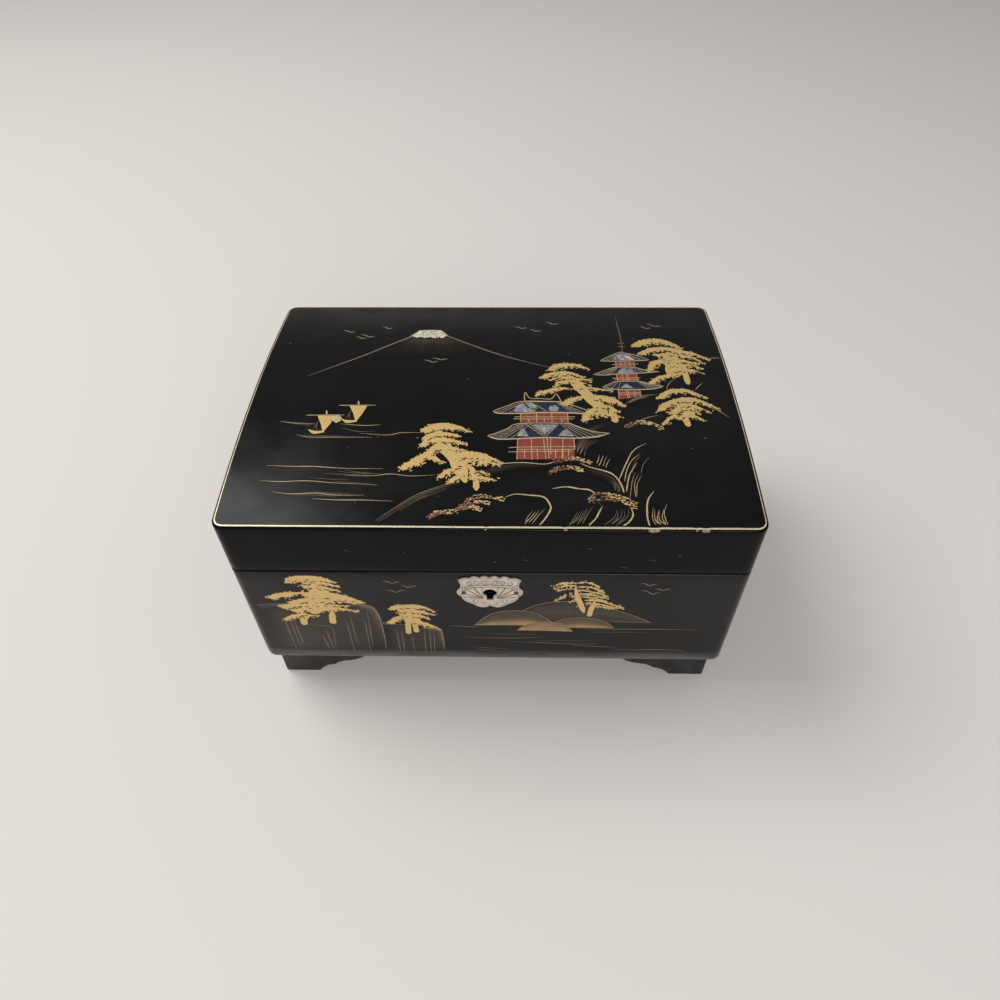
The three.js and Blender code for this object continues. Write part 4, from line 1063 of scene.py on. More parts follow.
BIRDS = [
    [(-79.5, 52.5), (-75.5, 50.3), (-73.3, 50.8)], [(-72, 46.5), (-68.5, 44), (-66.3, 44.6)],
    [(-69.5, 48.5), (-65, 45.6), (-62.3, 46)], [(-59.5, 56.5), (-56, 54), (-54, 54.4)],
    [(-35, 25), (-30, 22.6), (-27.5, 23.4)], [(-31, 26.5), (-26, 24.8), (-23, 25.6)],
    [(10, 56.5), (14, 54.4), (16.7, 55)], [(18, 53.5), (21.5, 51.4), (24, 52)],
    [(26.5, 61.5), (30.5, 58.6), (33.4, 59.4)], [(75.5, 56.5), (79, 54.4), (81.5, 54.8)],
    [(79.5, 59.5), (83.5, 56.8), (87, 56.6)],
]
for wings in BIRDS:
    bird(lid_dim, *wings, 0.75)
for shore in [
    [(105, 25.6), (108.5, 27), (112.5, 26.8)], [(99.5, -10.5), (103.5, -13), (108, -18)],
    [(61.5, -9), (66.5, -5), (72, -2.8), (77.5, -2)], [(63, -8.4), (68, -5.2), (73, -3.6)],
    [(64.5, -22.3), (70, -18.6), (76, -16.6)], [(82, 1.6), (83.5, 5.5), (86.5, 9.5)],
    [(95.5, 1.5), (97.5, 4), (100, 7)],
]:
    lid_dim.stroke(shore, 0.55, 24, (0.3, 0.4))

# %% The hill, rocks and falling water
HILL = np.array([(-46.5, -77.4), (-38.5, -70.6), (-32, -65.2), (-25.5, -61.6), (-19.5, -59), (-13, -56.6)])
lid_dim.stroke(HILL, HAIR, 50, (0.3, 0.3), 0.4)
for hair in range(1, 6):
    drift = HILL[hair // 4: 6 - hair // 3] + [0.34 * hair, -0.44 * hair]
    lid_faint.stroke(drift, 0.16, 50, (0.4, 0.6), 1.0)
lid_lines.stroke([(0.5, -48.8), (5, -47), (14, -46.2), (23.5, -47), (28, -45.6)], 0.42, 40)
ROCKS = [
    [(39, -46.5), (43, -48.6), (47.5, -50.1), (51.5, -51.8), (54, -54.4), (55.8, -58.5), (56.5, -62.5)],
    [(26.5, -60.5), (32.5, -59.5), (38, -60.5), (42, -61), (44.5, -63)],
    [(47, -69.5), (45.5, -72.5), (44, -75.5), (41, -79)],
    [(7, -65), (11, -63.5), (17, -64), (23, -65), (25.5, -69), (25.5, -71.5), (23.5, -75.5), (21, -79)],
    [(58.5, -69.5), (59.3, -73.5), (57.5, -77), (55, -79)],
    [(69, -61.5), (66, -66.5), (65, -74), (65.5, -79)],
]
for rock in ROCKS:
    lid_lines.stroke(rock, FIRM, 70, (0.35, 0.05), 0.22)


def hatch(picture, first, last, count, width=0.36):
    """Strokes between two given ones, each a little different from the one before."""
    first, last = np.array(first, float), np.array(last, float)
    for share in np.linspace(0, 1, count):
        line = first + (last - first) * share
        line[[0, -1]] += picture.rng.normal(0, 0.45, (2, 2))
        picture.stroke(line, width * picture.rng.uniform(0.7, 1.2), 26, (0.65, 0.12), 0.12)


hatch(lid_lines, [(22.5, -70.5), (20.5, -74.5), (18.5, -78.4)], [(18, -72.5), (16, -75.5), (14.5, -78.3)],
      4, 0.26)
hatch(lid_dim, [(43, -69.5), (40.5, -74), (38, -78.4)], [(36.5, -73), (34.5, -76.5), (32.5, -78.4)], 6, 0.26)
hatch(lid_dim, [(57, -70), (57, -74.5), (53.5, -78.4)], [(52.5, -71), (51.5, -75), (48, -78.4)], 5, 0.26)
hatch(lid_dim, [(54.5, -56.5), (55, -59.5), (54, -62.5)], [(51.8, -54.5), (52.6, -58), (52.2, -61)], 4, 0.24)
hatch(lid_faint, [(44, -63), (44.6, -66), (46, -69)], [(41, -64), (41.6, -66), (42.4, -68.5)], 4, 0.24)
lid_lines.stroke([(68.5, -34.5), (62.5, -39), (58.5, -47), (55, -55.5)], 0.55, 40, (0.5, 0.15))
lid_lines.stroke([(65, -41), (61.5, -44.5), (58.8, -50), (57.2, -56.5)], 0.4, 40, (0.5, 0.15))
lid_lines.stroke([(63.5, -46), (60, -52), (58.4, -57.5), (57.6, -62)], 0.55, 40, (0.5, 0.15))
hatch(lid_lines, [(62.5, -50.5), (60.4, -56.5), (60.2, -65)], [(64.6, -53), (62.4, -58), (61.6, -64)], 3, 0.3)
hatch(lid_dim, [(66, -41.5), (62.5, -46), (60, -52)], [(69, -43), (66, -47), (64, -52)], 2, 0.26)
hatch(lid_lines, [(67.5, -70), (67, -75), (68, -78.6)], [(70.5, -71.5), (69.8, -76), (71.5, -78.6)], 4, 0.32)
hatch(lid_lines, [(74, -68), (72, -73), (73, -78.6)], [(73, -70), (71, -75), (71.8, -78.6)], 2, 0.36)
hatch(lid_lines, [(48, -41.5), (47, -44), (46.6, -47)], [(51.8, -43.5), (50.8, -46), (50, -48.5)], 4, 0.3)
hatch(lid_dim, [(43.5, -31), (39.5, -35), (37.2, -40)], [(47, -33), (42.5, -37), (40, -42)], 5, 0.28)

# %% [markdown]
# ## Boats
# Two boats run before the wind: a yard, a sail that narrows to its foot, a crescent of a hull and
# one rope.

# %% The boats
def boat(at, size=1.0):
    """A boat whose yard's left end is at the given point."""
    def move(points):
        return np.array(points, float) * size + at

    lid_lines.stroke(move([(0, 0), (9, 0.1), (17.5, 0.2)]), 0.42, 24, (0.1, 0.2))
    lid_lines.stroke(move([(8.9, 3.2), (9.4, 0.4)]), 0.75, 8)
    lid_gold.polygon(move([(5.2, -0.3), (7.6, -5.2), (9.3, -10.4)]),
                     move([(13.6, -0.3), (12, -5.8), (9.9, -10.6)]), 12, 4)
    lid_gold.patch(
        smooth(move([(2.9, -9.6), (5.6, -11.9), (10.2, -10.9)]), 16),
        smooth(move([(2.7, -9.1), (6, -10.0), (9.8, -10.0)]), 16),
    )
    lid_faint.stroke(move([(6.6, -3.4), (5, -9)]), 0.3, 8)
    lid_faint.stroke(move([(6, -5.4), (6.6, -9.4)]), 0.26, 8)


boat((-71.5, -10.5))
boat((-85.5, -17.3), 1.02)
lid_lines.slip([(-73.6, -17.8), (-72.6, -21), (-70.6, -22.4), (-68.8, -21), (-68.6, -18.6), (-70.4, -17.2)])

# %% [markdown]
# ## The mountain's cap, the pavilion and the pagoda
# The cap and parts of the roofs are slips of shell. The walls are red, behind a lattice of gold
# lines. The roofs are dark, with gold eaves that lift at the corners and fine lines for the tiles.

# %% The mountain's cap and its haze
lid_pearl, lid_wash = Picture(on_lid, 0.06, 3), Picture(on_lid, 0.012, 4)
CAP_TOP = [(-42.5, 46.9), (-39.5, 52.6), (-34, 53.2), (-28.5, 52.8), (-25.4, 47.2)]
CAP_FOOT = [(-42.5, 46.4), (-40, 45.4), (-38, 46.2), (-36, 44.9), (-33.5, 46), (-31, 44.6), (-28.8, 45.8),
            (-27, 44.8), (-25.4, 46.8)]
lid_pearl.polygon(CAP_FOOT, CAP_TOP, 40, 4)
lid_gold.stroke([(-44, 46.2), (-41, 49.8), (-39, 52.8)], 0.8, 14)
lid_gold.stroke([(-24.4, 46.6), (-26.5, 50), (-29, 52.9)], 0.8, 14)
lid_gold.dabs([(-41.3, 47.2), (-37.6, 46.6), (-33, 46.4), (-36, 51.8), (-30.5, 46), (-27.2, 46.2)],
              2.2, 1.2, 0.2)
for share in np.linspace(0, 1, 15):
    foot = np.array([-43 + 19 * share, 45.4 - 1.5 * np.sin(np.pi * share)])
    away = np.array([(share - 0.5) * 6.5, -4.5 - 1.5 * lid_faint.rng.uniform()])
    lid_faint.stroke([foot, foot + 0.5 * away, foot + away], HAIR, 8, (0.05, 0.9))
wash(lid_wash, [(-62, 25), (-45, 25), (-22, 26), (2, 27)], [(-44, 46), (-38, 45), (-30, 45), (-24, 47)],
     lambda t, v: 0.24 * v**2 * (1 + 0.35 * np.sin(46 * t) * np.sin(19 * t)) * np.sin(np.pi * t) ** 0.3)
wash(lid_wash, HILL + [1.8, -2.6], HILL + [0.1, -0.1], lambda t, v: 0.2 * v * np.sin(np.pi * t) ** 0.5, 60, 6)
wash(lid_wash, [(36, -46), (40, -36), (47, -27), (56, -22)], [(34.5, -42), (38, -33), (44, -25), (53, -20)],
     lambda t, v: 0.26 * np.sin(np.pi * v) * np.sin(np.pi * t))
wash(lid_wash, [(-7, -58), (2, -54), (12, -50.5), (24, -49.5)],
     [(-7, -53.5), (1, -49.4), (12, -46.8), (24, -47.4)],
     lambda t, v: 0.3 * v**1.6 * np.sin(np.pi * t) ** 0.7)
wash(lid_wash, [(37, -52), (43, -54), (48, -57), (51, -61)],
     [(40.5, -47.8), (47, -50.6), (52.5, -54), (54.6, -59)],
     lambda t, v: 0.24 * v**1.6 * np.sin(np.pi * t) ** 0.7)

# %% Roofs and storeys
lid_roof, lid_walls = Picture(on_lid, 0.035, 2), Picture(on_lid, 0.035, 13)
lid_shell, lid_lattice = Picture(on_lid, 0.08, 14), Picture(on_lid, 0.105, 15)
lid_eaves, lid_tiles = Picture(on_lid, 0.11, 16), Picture(on_lid, 0.07, 17)


def posts(tops, feet, width=0.34):
    for a, b in zip(tops, feet):
        lid_lattice.stroke([a, b], width, 6, (0, 0), 0.05)


def storey(corners, post_tops, post_feet, rails, wide=0.34):
    """A red wall (top left, top right, foot right, foot left), gold posts over it, and rails."""
    top_left, top_right, foot_right, foot_left = corners
    lid_walls.polygon([foot_left, foot_right], [top_left, top_right], 12, 7)
    posts(post_tops, post_feet, wide)
    for rail in rails:
        lid_lattice.stroke(rail, 0.31, 10, (0, 0), 0.05)


def roof(left, top, right, eave, fans, thick=0.75):
    """A dark field between its slopes and an eave, all edged in gold, with fans of tile lines. A fan
    is where it starts and ends along the upper edge, the same along the eave, and how many lines."""
    upper, lower = along([*left, *top, *right], 120), smooth(eave, 120)
    lid_roof.patch(lower, upper, 7)
    lid_eaves.stroke(eave, thick, 50, (0.1, 0.1), 0.15)
    lid_lattice.stroke([*left, *top], 0.4, 30, (0.1, 0), 0.1)
    lid_lattice.stroke(right, 0.4, 20, (0, 0.1), 0.1)
    for up_from, up_to, low_from, low_to, count in fans:
        for u, w in zip(np.linspace(up_from, up_to, count), np.linspace(low_from, low_to, count)):
            a, b = upper[int(u * 119)], lower[int(w * 119)]
            lid_tiles.stroke([a, (a + b) / 2 + [0, -0.35], b], 0.2, 12, (0.1, 0.1), 0.1)


storey([(13, -15.4), (35, -15.2), (35, -21.6), (13, -21.6)],
       [(13.2, -15.4), (20.5, -15.4), (27.5, -15.2), (34.8, -15.2), (17, -19.4), (24, -19.4), (32, -19.4)],
       [(13.2, -21.6), (20.5, -21.6), (27.5, -21.6), (34.8, -21.6), (17, -21.6), (24, -21.6), (32, -21.6)],
       [[(10.4, -18), (38, -17.9)], [(10, -19.4), (37.4, -19.3)]])
storey([(12, -31.8), (37.1, -31.4), (36.6, -44.2), (11.6, -44.6)],
       [(12, -32), (18, -32), (23.4, -31.6), (25, -31.6), (26.6, -31.6), (32, -31.8), (36.9, -31.6),
        (15, -38.4), (20.5, -38.4), (28.6, -38.4), (31.6, -38.4), (34.5, -38.4)],
       [(11.6, -44.4), (18.2, -44.6), (24.2, -44), (25.6, -43.8), (26.4, -41.5), (31.6, -44), (37, -38.4),
        (15, -43.8), (20.6, -44.4), (28.5, -43.8), (31.2, -43.4), (34, -42.4)],
       [[(8, -37.6), (12.5, -37.2), (25, -36.9), (37.6, -36.6)], [(12, -38.6), (37, -38.4)],
        [(8, -40), (22, -39.8), (35.6, -39.4)]])
roof([(-1.5, -30.2), (1.5, -29), (7, -26), (13, -22.4)], [(35.4, -22.1)],
     [(35.4, -22.1), (40.5, -25), (46.5, -27.5), (53, -28.4)],
     [(-1.5, -30.4), (1.5, -31.8), (4.5, -32.4), (11.5, -32.1), (23.5, -31.3), (36.5, -31.6), (42.5, -31.2),
      (47.5, -30.5), (53, -28.5)],
     [(0.30, 0.37, 0.06, 0.33, 5), (0.67, 0.60, 0.93, 0.68, 5)])
roof([(0.5, -14.2), (7, -10.6), (14.5, -7.3)], [(32, -7.4)], [(32, -7.4), (36.5, -9.6), (43, -13), (45, -15)],
     [(0.5, -14.4), (3.5, -15.6), (13, -15.6), (24, -15), (36, -15.2), (41, -15.6), (45, -15.2)],
     [(0.33, 0.38, 0.07, 0.25, 3), (0.68, 0.64, 0.92, 0.70, 4)])
lid_eaves.stroke([(15.4, -7.5), (15, -4.6), (15.5, -1), (17.5, -4.9), (22.5, -5.3), (27.5, -5.4), (30, -2),
                  (32, -7)], 0.42, 60, (0.02, 0.02))
lid_eaves.stroke([(15.4, -7.5), (32, -7.5)], 0.4, 12, (0.02, 0.02))
for slope in [[(15.5, -22.6), (23.5, -30.6)], [(30.4, -22.8), (24.5, -30.4)],
              [(17.4, -22.6), (24.4, -30.2)], [(20, -9.5), (25, -14)]]:
    lid_eaves.stroke(slope, 0.32, 8, (0.05, 0.05))
for slip in [
    [(10, -13.8), (11.5, -10.2), (14, -8.6), (17, -12), (21, -13.6), (19, -14.8), (11, -14.6)],
    [(15.5, -8.6), (18, -7.8), (20.6, -10.5), (21, -12.5), (17.5, -12)],
    [(26, -12.6), (27, -10.2), (29, -9.6), (31, -11.6), (30.4, -13.8), (27, -14)],
    [(11.5, -30.4), (13, -26.6), (14.5, -24.8), (15.5, -27), (17, -30.8)],
    [(18.6, -22.9), (30.2, -22.9), (24.4, -29.2)],
    [(30, -30), (32, -27), (34, -26), (35.5, -28), (37, -30.4)],
]:
    lid_shell.slip(slip)

# %% The pagoda
storey([(59.6, 23.6), (69.2, 23.8), (69.2, 19.4), (59.8, 19.2)],
       [(60, 23.5), (62.4, 23.5), (64.6, 23.5), (66.8, 23.5), (69, 23.5)],
       [(60, 19.4), (62.4, 19.4), (64.6, 19.4), (66.8, 19.4), (69, 19.4)], [[(58.2, 21.2), (71, 21.8)]], 0.3)
storey([(59, 13.4), (69.2, 13.6), (69.6, 8), (59.6, 7.8)],
       [(59.4, 13.4), (62.2, 13.4), (64.2, 13.4), (65, 13.4), (69.2, 13.4)],
       [(59.8, 7.8), (62.4, 7.8), (64.4, 7.8), (65.2, 7.8), (69.4, 7.8)],
       [[(57.2, 10.2), (70.6, 10.5)], [(58, 9.2), (70, 9.4)]], 0.3)
storey([(59, 1.8), (69.5, 1.8), (69.6, -3.4), (59, -5.8)],
       [(59.4, 1.6), (63, 1.6), (64, 1.6), (69.5, 1.6), (66.8, 1.6)],
       [(59.2, -5.4), (63.4, -5), (64.2, -4.8), (69.6, -3.4), (66.8, -4)],
       [[(59, -1), (69.5, -0.8)], [(59, -2.2), (69.5, -1.8)]], 0.3)
roof([(52.5, 24.4), (58, 28.8), (63, 31.8)], [(65, 31.2)], [(65, 31.2), (71, 29), (76.6, 25.2)],
     [(52.5, 24.2), (59.5, 24), (69.5, 24.4), (76.6, 25)],
     [(0.36, 0.42, 0.1, 0.3, 3), (0.6, 0.56, 0.9, 0.72, 3)], 0.5)
roof([(48.5, 13), (55, 16.8), (60, 19)], [(69, 19)], [(69, 19), (74, 16.6), (80.5, 15.4)],
     [(48.5, 12.8), (54.5, 12.6), (59, 13.4), (69, 14), (80.5, 15.4)],
     [(0.36, 0.42, 0.06, 0.3, 4), (0.64, 0.60, 0.93, 0.7, 4)], 0.5)
roof([(52, 3.2), (56, 6), (59, 7.6)], [(69.5, 7.9)], [(69.5, 7.9), (75, 6), (81, 4)],
     [(52, 3), (59, 1.6), (69.5, 1.6), (76.5, 2.2), (81, 4)],
     [(0.28, 0.34, 0.04, 0.26, 3), (0.66, 0.6, 0.95, 0.66, 5)], 0.6)
lid_shell.slip([(58, 24.7), (61, 29.6), (63, 31), (66.5, 30), (70, 24.9)])
lid_pearl.thick = 0.1
lid_pearl.slip([(64, 28.6), (67.2, 27.6), (69.6, 24.9), (67, 26.2)])
lid_shell.slip([(59.6, 14), (62, 17.8), (64, 18.8), (67.5, 17.8), (68.6, 14.4)])
lid_shell.slip([(60.4, 2.8), (63.5, 6.2), (66.6, 2.8)])
lid_faint.stroke([(64, 68), (64, 58.5), (64.5, 47), (64.2, 32)], 0.6, 30, (0.6, 0.02))
for y in (39.5, 36.5):
    lid_dim.stroke([(62.4, y), (64.2, y + 0.9), (66, y)], 0.4, 10)

# %% Make the lid's picture
LID_PAINTS = [
    ("lid_gold_pines", lid_gold, gold_leafage), ("lid_dark_gaps", lid_gaps, lacquer),
    ("lid_red_touches", lid_red_gold, red_gold), ("lid_cream_touches", lid_cream, gold_border),
    ("lid_green_touches", lid_green, green_gold), ("lid_gold_lines", lid_lines, gold_line),
    ("lid_faint_lines", lid_faint, gold_faint), ("lid_dim_lines", lid_dim, gold_dim),
    ("lid_pearl_inlay", lid_pearl, pearl), ("lid_roofs", lid_roof, roof_paint),
    ("lid_red_walls", lid_walls, red_paint), ("lid_shell_inlay", lid_shell, shell),
    ("lid_lattice", lid_lattice, gold_line), ("lid_eaves", lid_eaves, gold_line),
    ("lid_tile_lines", lid_tiles, gold_line), ("lid_wash", lid_wash, lacquer),
]
for name, picture, finish in LID_PAINTS:
    picture.make(name, finish, "lid")
print("lid picture:", sum(picture.total for _, picture, _ in LID_PAINTS), "points")

# %% [markdown]
# ## The picture on the front
# The front has the same pines over cliffs on the left, and an island of low hills on the right. The
# hills are washes of gold powder, dense at the water and thin towards each crest.

# %% Front pines
front_gold, front_gaps = Picture(on_front, 0.05, 21), Picture(on_front, 0.08, 22)
pine(
    front_gold, front_gaps,
    [(-89, 51.5), (-88.6, 55), (-88, 59.5), (-87, 66)],
    ([(-83, 61), (-80, 69), (-77, 77), (-77, 86)], 9.5),
    [
        ([(-91, 85.2), (-89.6, 88.4), (-84.5, 90.4), (-78.5, 90.6), (-74, 89.5), (-70.5, 87.6),
          (-68, 85.4)], 5.2),
        ([(-84, 86.4), (-76, 86.8), (-66.4, 82.4)], 3.6),
        ([(-84, 83.4), (-76, 83.4), (-67.4, 79.4)], 3.6),
        ([(-101.5, 74.3), (-96.5, 77), (-90, 78.2), (-82, 77.4)], 4.4),
        ([(-86, 78), (-74.5, 78.4), (-69, 77.2), (-63.5, 74.6), (-57.6, 70.4)], 6.4),
        ([(-93, 70.5), (-84, 73.6), (-72, 73), (-59, 70)], 4.4),
        ([(-97.8, 67.3), (-91, 69.6), (-80, 69.8), (-64.8, 67.6)], 4.4),
        ([(-93, 64), (-84.5, 66.5), (-72, 66.6), (-61.2, 63.6)], 4.2),
        ([(-98.2, 56.2), (-95, 58.8), (-89, 61), (-80.8, 59.2)], 3.4),
    ],
    3.4,
    [[(-75, 52.8), (-74.6, 57.5), (-73.6, 64)]],
)
front_gold.stroke([(-91, 60.5), (-88.4, 57.5), (-86, 60.5)], 3.6, 12)
pine(
    front_gold, front_gaps,
    [(-39.9, 44.4), (-39.6, 50), (-39.2, 57)],
    ([(-37, 53), (-37, 58), (-37.5, 66)], 7.2),
    [
        ([(-46.8, 65), (-44.5, 68), (-37, 69.2), (-31, 68), (-25.3, 63.4)], 4.2),
        ([(-43.5, 65), (-36, 66), (-25.8, 61)], 3.8),
        ([(-43, 61.6), (-36, 62.6), (-28.6, 58)], 3.8),
        ([(-49.4, 53.8), (-47, 57), (-43.5, 59.4), (-36, 59.6)], 4.2),
        ([(-38, 57), (-34, 56), (-29.5, 53.6), (-23.8, 48.8)], 4.0),
    ],
    2.8,
    [[(-35.9, 45.8), (-36, 50), (-36.4, 56)]],
)


LEAFY_ROWS = [
    [(38.3, 86.9), (42.5, 87.2), (46.4, 85.4), (48.6, 83)],
    [(39.1, 84.4), (44.2, 83.7), (48.5, 81.4), (51.3, 79.3)],
    [(39.6, 81.7), (43.4, 80.7), (48.5, 79.1), (53, 76.1)],
    [(40, 78.6), (44.2, 78.2), (48.5, 76.8), (53.2, 75)],
    [(41, 76.3), (45.1, 75.8), (49.3, 74.4), (53, 72.6)],
    [(43, 73.5), (48.1, 73.5), (52.7, 71.8), (58.3, 68.9), (60.8, 66.9)],
    [(43.4, 71.4), (48.5, 70.9), (53.6, 69.4), (58.3, 67.5)],
    [(47.6, 69), (52.7, 68.2), (57, 67.5)],
    [(30.2, 86.1), (33.6, 86.7), (38.2, 86.8)],
    [(31.5, 84), (34.9, 84.9), (38.3, 84.4)],
]
LOOSE_ROWS = [
    [(27.2, 84.2), (30.2, 85.8), (34, 86.2)],
    [(28.3, 82.1), (31.5, 83.7), (36, 83.8)],
    [(29.8, 80), (32.3, 81.7), (37.5, 82)],
    [(32.7, 75.9), (34.2, 78), (37.5, 79.6)],
    [(28.9, 73.6), (31, 74.6), (33.4, 75.9), (38.5, 76)],
    [(35.7, 71.7), (37.4, 73.1), (40.5, 74)],
    [(39.4, 68.6), (40.2, 69.2), (41, 69.4)],
]


def leafy_row(points, core, each):
    """A row of leaves along a curve. core is how wide its solid middle is, and each spaces the leaves."""
    rng = front_gold.rng
    line = smooth(points, 80)
    run = np.hypot(*np.diff(line, axis=0).T).sum()
    side = sideways(line)
    if core:
        front_gold.stroke(points, core, 60, (0.15, 0.3), 0.35)
    count = int(run / each)
    pick = rng.integers(0, 80, count)
    off = rng.normal(0, 0.5, (count, 1))
    tilt = np.arctan2(-side[pick, 0], side[pick, 1]) + rng.normal(0, 0.45, count)
    front_gold.dabs(line[pick] + side[pick] * off, 1.15, 0.5, tilt)
    front_cream.dabs(line[pick[::5]] + side[pick[::5]] * off[::5], 0.8, 0.4, tilt[::5])


front_cream = Picture(on_front, 0.085, 26)
for row in LEAFY_ROWS:
    leafy_row(row, 0.85, 0.4)
for row in LOOSE_ROWS:
    leafy_row(row, 0, 0.34)
front_gold.stroke([(43, 63.8), (41, 70.5), (39, 77), (37.8, 84.5)], 2.7, 40, (0.16, 0.45), 0.06)
front_gold.stroke([(45.6, 60.8), (46, 66), (47.4, 73)], 2.6, 30, (0.08, 0.25), 0.06)

# %% Cliffs, hills and water
front_dim, front_faint = Picture(on_front, 0.05, 23), Picture(on_front, 0.045, 24)
front_wash = Picture(on_front, 0.012, 25)
CLIFF = [(-65, 68.4), (-60, 68.7), (-56.5, 68.2), (-54, 66), (-52.6, 61), (-52, 54.5), (-52, 39), (-52.6, 30)]
LOW_CLIFF = [(-33.5, 49.8), (-28, 49.6), (-24.4, 48.8), (-23.6, 44.5), (-23.5, 36), (-23.6, 30)]
front_faint.stroke([(-108, 67.4), (-104.5, 68.5), (-95, 69), (-86, 69)], 0.5, 40, (0.2, 0.1))
front_dim.stroke(CLIFF, 0.6, 70, (0.1, 0.3))
front_faint.stroke([(-51, 53), (-46, 52.6), (-41, 52.6)], 0.45, 20)
front_dim.stroke(LOW_CLIFF, 0.55, 50, (0.1, 0.3))
front_faint.stroke([(-87.5, 51.6), (-79.5, 51.1), (-76.6, 49.6), (-76, 46), (-77, 36), (-77.5, 26.5)],
                   0.45, 40, (0.3, 0.4))
HAZE, HAZE_FOOT = 0.17, 30


def cliff_haze(foot_left, foot_right, top):
    """An even, thin haze between a cliff's foot and its top, fading out at all its edges."""
    foot = np.column_stack([np.linspace(foot_left, foot_right, len(top)), np.full(len(top), HAZE_FOOT)])
    wash(front_wash, foot, top,
         lambda t, v: HAZE * np.clip(8 * np.minimum(t, 1 - t), 0, 1) * np.clip(7 * v, 0, 1))


front_wash.thick = 0.006
cliff_haze(-106, -53, [(-106, 65), (-92, 68), (-74, 67.5), (-58, 67.4), (-54, 63)])
cliff_haze(-50, -24.5, [(-50, 52), (-42, 52), (-34, 49), (-28, 49), (-24.6, 47)])
front_wash.thick = 0.012
for reach, curve in ((6.5, CLIFF), (5.0, LOW_CLIFF)):
    inward = np.column_stack([np.linspace(0.5, 1, len(curve)), np.linspace(1, 0, len(curve))])
    wash(front_wash, np.array(curve) - inward * reach, curve,
         lambda t, v: (HAZE + 0.38 * v**1.4) * np.clip(5 * t, 0, 1) * np.clip(3 - 3 * t, 0, 1))
wash(front_wash, [(-106, 63), (-98, 65), (-90, 65.5)], [(-107, 67), (-100, 68.4), (-90, 68.6)],
     lambda t, v: 0.42 * v**1.5)
CRACKS = [
    [(-97.5, 58.5), (-97.5, 45.5), (-97.3, 27.5)], [(-95, 55), (-95, 43), (-94.8, 31)],
    [(-93, 55.5), (-93, 43), (-92.8, 32)], [(-82, 43.5), (-80.5, 28.5)],
    [(-79.5, 48), (-79, 38.5), (-78.5, 28)], [(-68.5, 56), (-68.5, 26.5)], [(-66, 62), (-66, 34)],
    [(-59.5, 59), (-60.5, 28)], [(-57.5, 64), (-58.5, 34)], [(-45.5, 48.5), (-45.5, 27)],
    [(-43, 48), (-43.5, 28)], [(-38.5, 44), (-38.5, 27.5)], [(-32, 49), (-33, 26.5)],
    [(-29.6, 49), (-30.2, 27)], [(-27.6, 49.3), (-28.3, 28)],
]
for crack in CRACKS:
    front_dim.stroke(crack, 0.3, 16, (0.35, 0.35), 0.3)
FADE, FADE_WIDE = HAZE / 3, 3.4
for crack in CRACKS[::2]:
    edge = np.array([[x, max(z, HAZE_FOOT)] for x, z in crack])
    wash(front_wash, edge - [FADE_WIDE, 0], edge,
         lambda t, v: HAZE * np.clip(9 * (1 - t), 0, 1) + FADE * v**1.5 * np.sin(np.pi * t), 24, 7)


def hill(crest, foot, low, middle, high, lift):
    """A wash of gold under a crest: how much lies at its foot, its middle and its crest."""
    front_wash.thick = lift
    count = len(crest)
    base = np.column_stack([np.linspace(*foot[0], count), np.linspace(*foot[1], count)])
    stops = [0, 0.25, 0.5, 0.8, 1]
    amounts = [0.9 * low, 0.78 * low, 0.9 * middle, 0.75 * middle, high]
    wash(front_wash, base, crest, lambda t, v: np.interp(v + 0.05 * np.sin(7 * t), stops, amounts))
    front_dim.stroke(crest, 0.36, 60, (0.03, 0.03))


front_faint.stroke([(54.5, 56.9), (64, 56.6), (75, 56)], 0.4, 24, (0.3, 0.1))
hill([(14, 64.3), (20, 69), (26, 71.5), (32.5, 72.5), (39, 72.2), (45.5, 70.6), (52, 68.4), (58.5, 65.5),
      (65.5, 62), (75, 56)],
     [(14, 75), (55.8, 55.8)], 0.28, 0.36, 0.05, 0.010)
hill([(-8, 52.6), (-2.5, 59.5), (3, 63.6), (10.5, 65), (17.5, 64), (22.5, 61.5), (26.5, 58), (29, 54.5)],
     [(-8, 29), (52.5, 52.8)], 0.88, 0.44, 0.28, 0.020)
hill([(27.5, 53.6), (33, 57.8), (39.5, 59.4), (46, 59.3), (51.5, 57.4), (55, 55), (57.8, 51.2)],
     [(28, 57.8), (51.2, 51)], 0.84, 0.5, 0.3, 0.024)
hill([(12.3, 48.6), (15.5, 52.6), (20, 54.8), (27, 56), (33.5, 54.2), (36.5, 51), (38.8, 48)],
     [(12.3, 38.8), (48.5, 47.9)], 0.90, 0.8, 0.48, 0.032)
WATER = [
    [(-20, 52), (-12, 51.4), (-6, 51)], [(40, 50.2), (58, 50.4), (80, 50.6), (98, 50.3)],
    [(-12.5, 42.5), (0, 41.6), (12, 41.8), (26, 43)], [(8, 38.7), (27.5, 37.6), (38.5, 37), (52, 37.2)],
    [(38.5, 35.6), (50, 35), (61.5, 34)], [(58, 32.7), (69, 32.1), (82.5, 32.5), (95, 31.6)],
    [(-12.5, 34), (-2.5, 32.6), (9.5, 31.5)], [(-9.5, 31.6), (-4, 30.8), (2, 30)],
    [(20, 40), (36, 39.6), (52, 40)], [(-4, 45.6), (10, 45.2), (22, 45.4)],
    [(46, 47.6), (62, 47.8), (76, 47.2)], [(60, 28.4), (76, 28), (90, 28.4)],
]
BRIGHTER_LINES = 6
for number, line in enumerate(WATER):
    paint = front_dim if number < BRIGHTER_LINES else front_faint
    paint.stroke(line, 0.36, 30, (0.6, 0.6), 0.3)
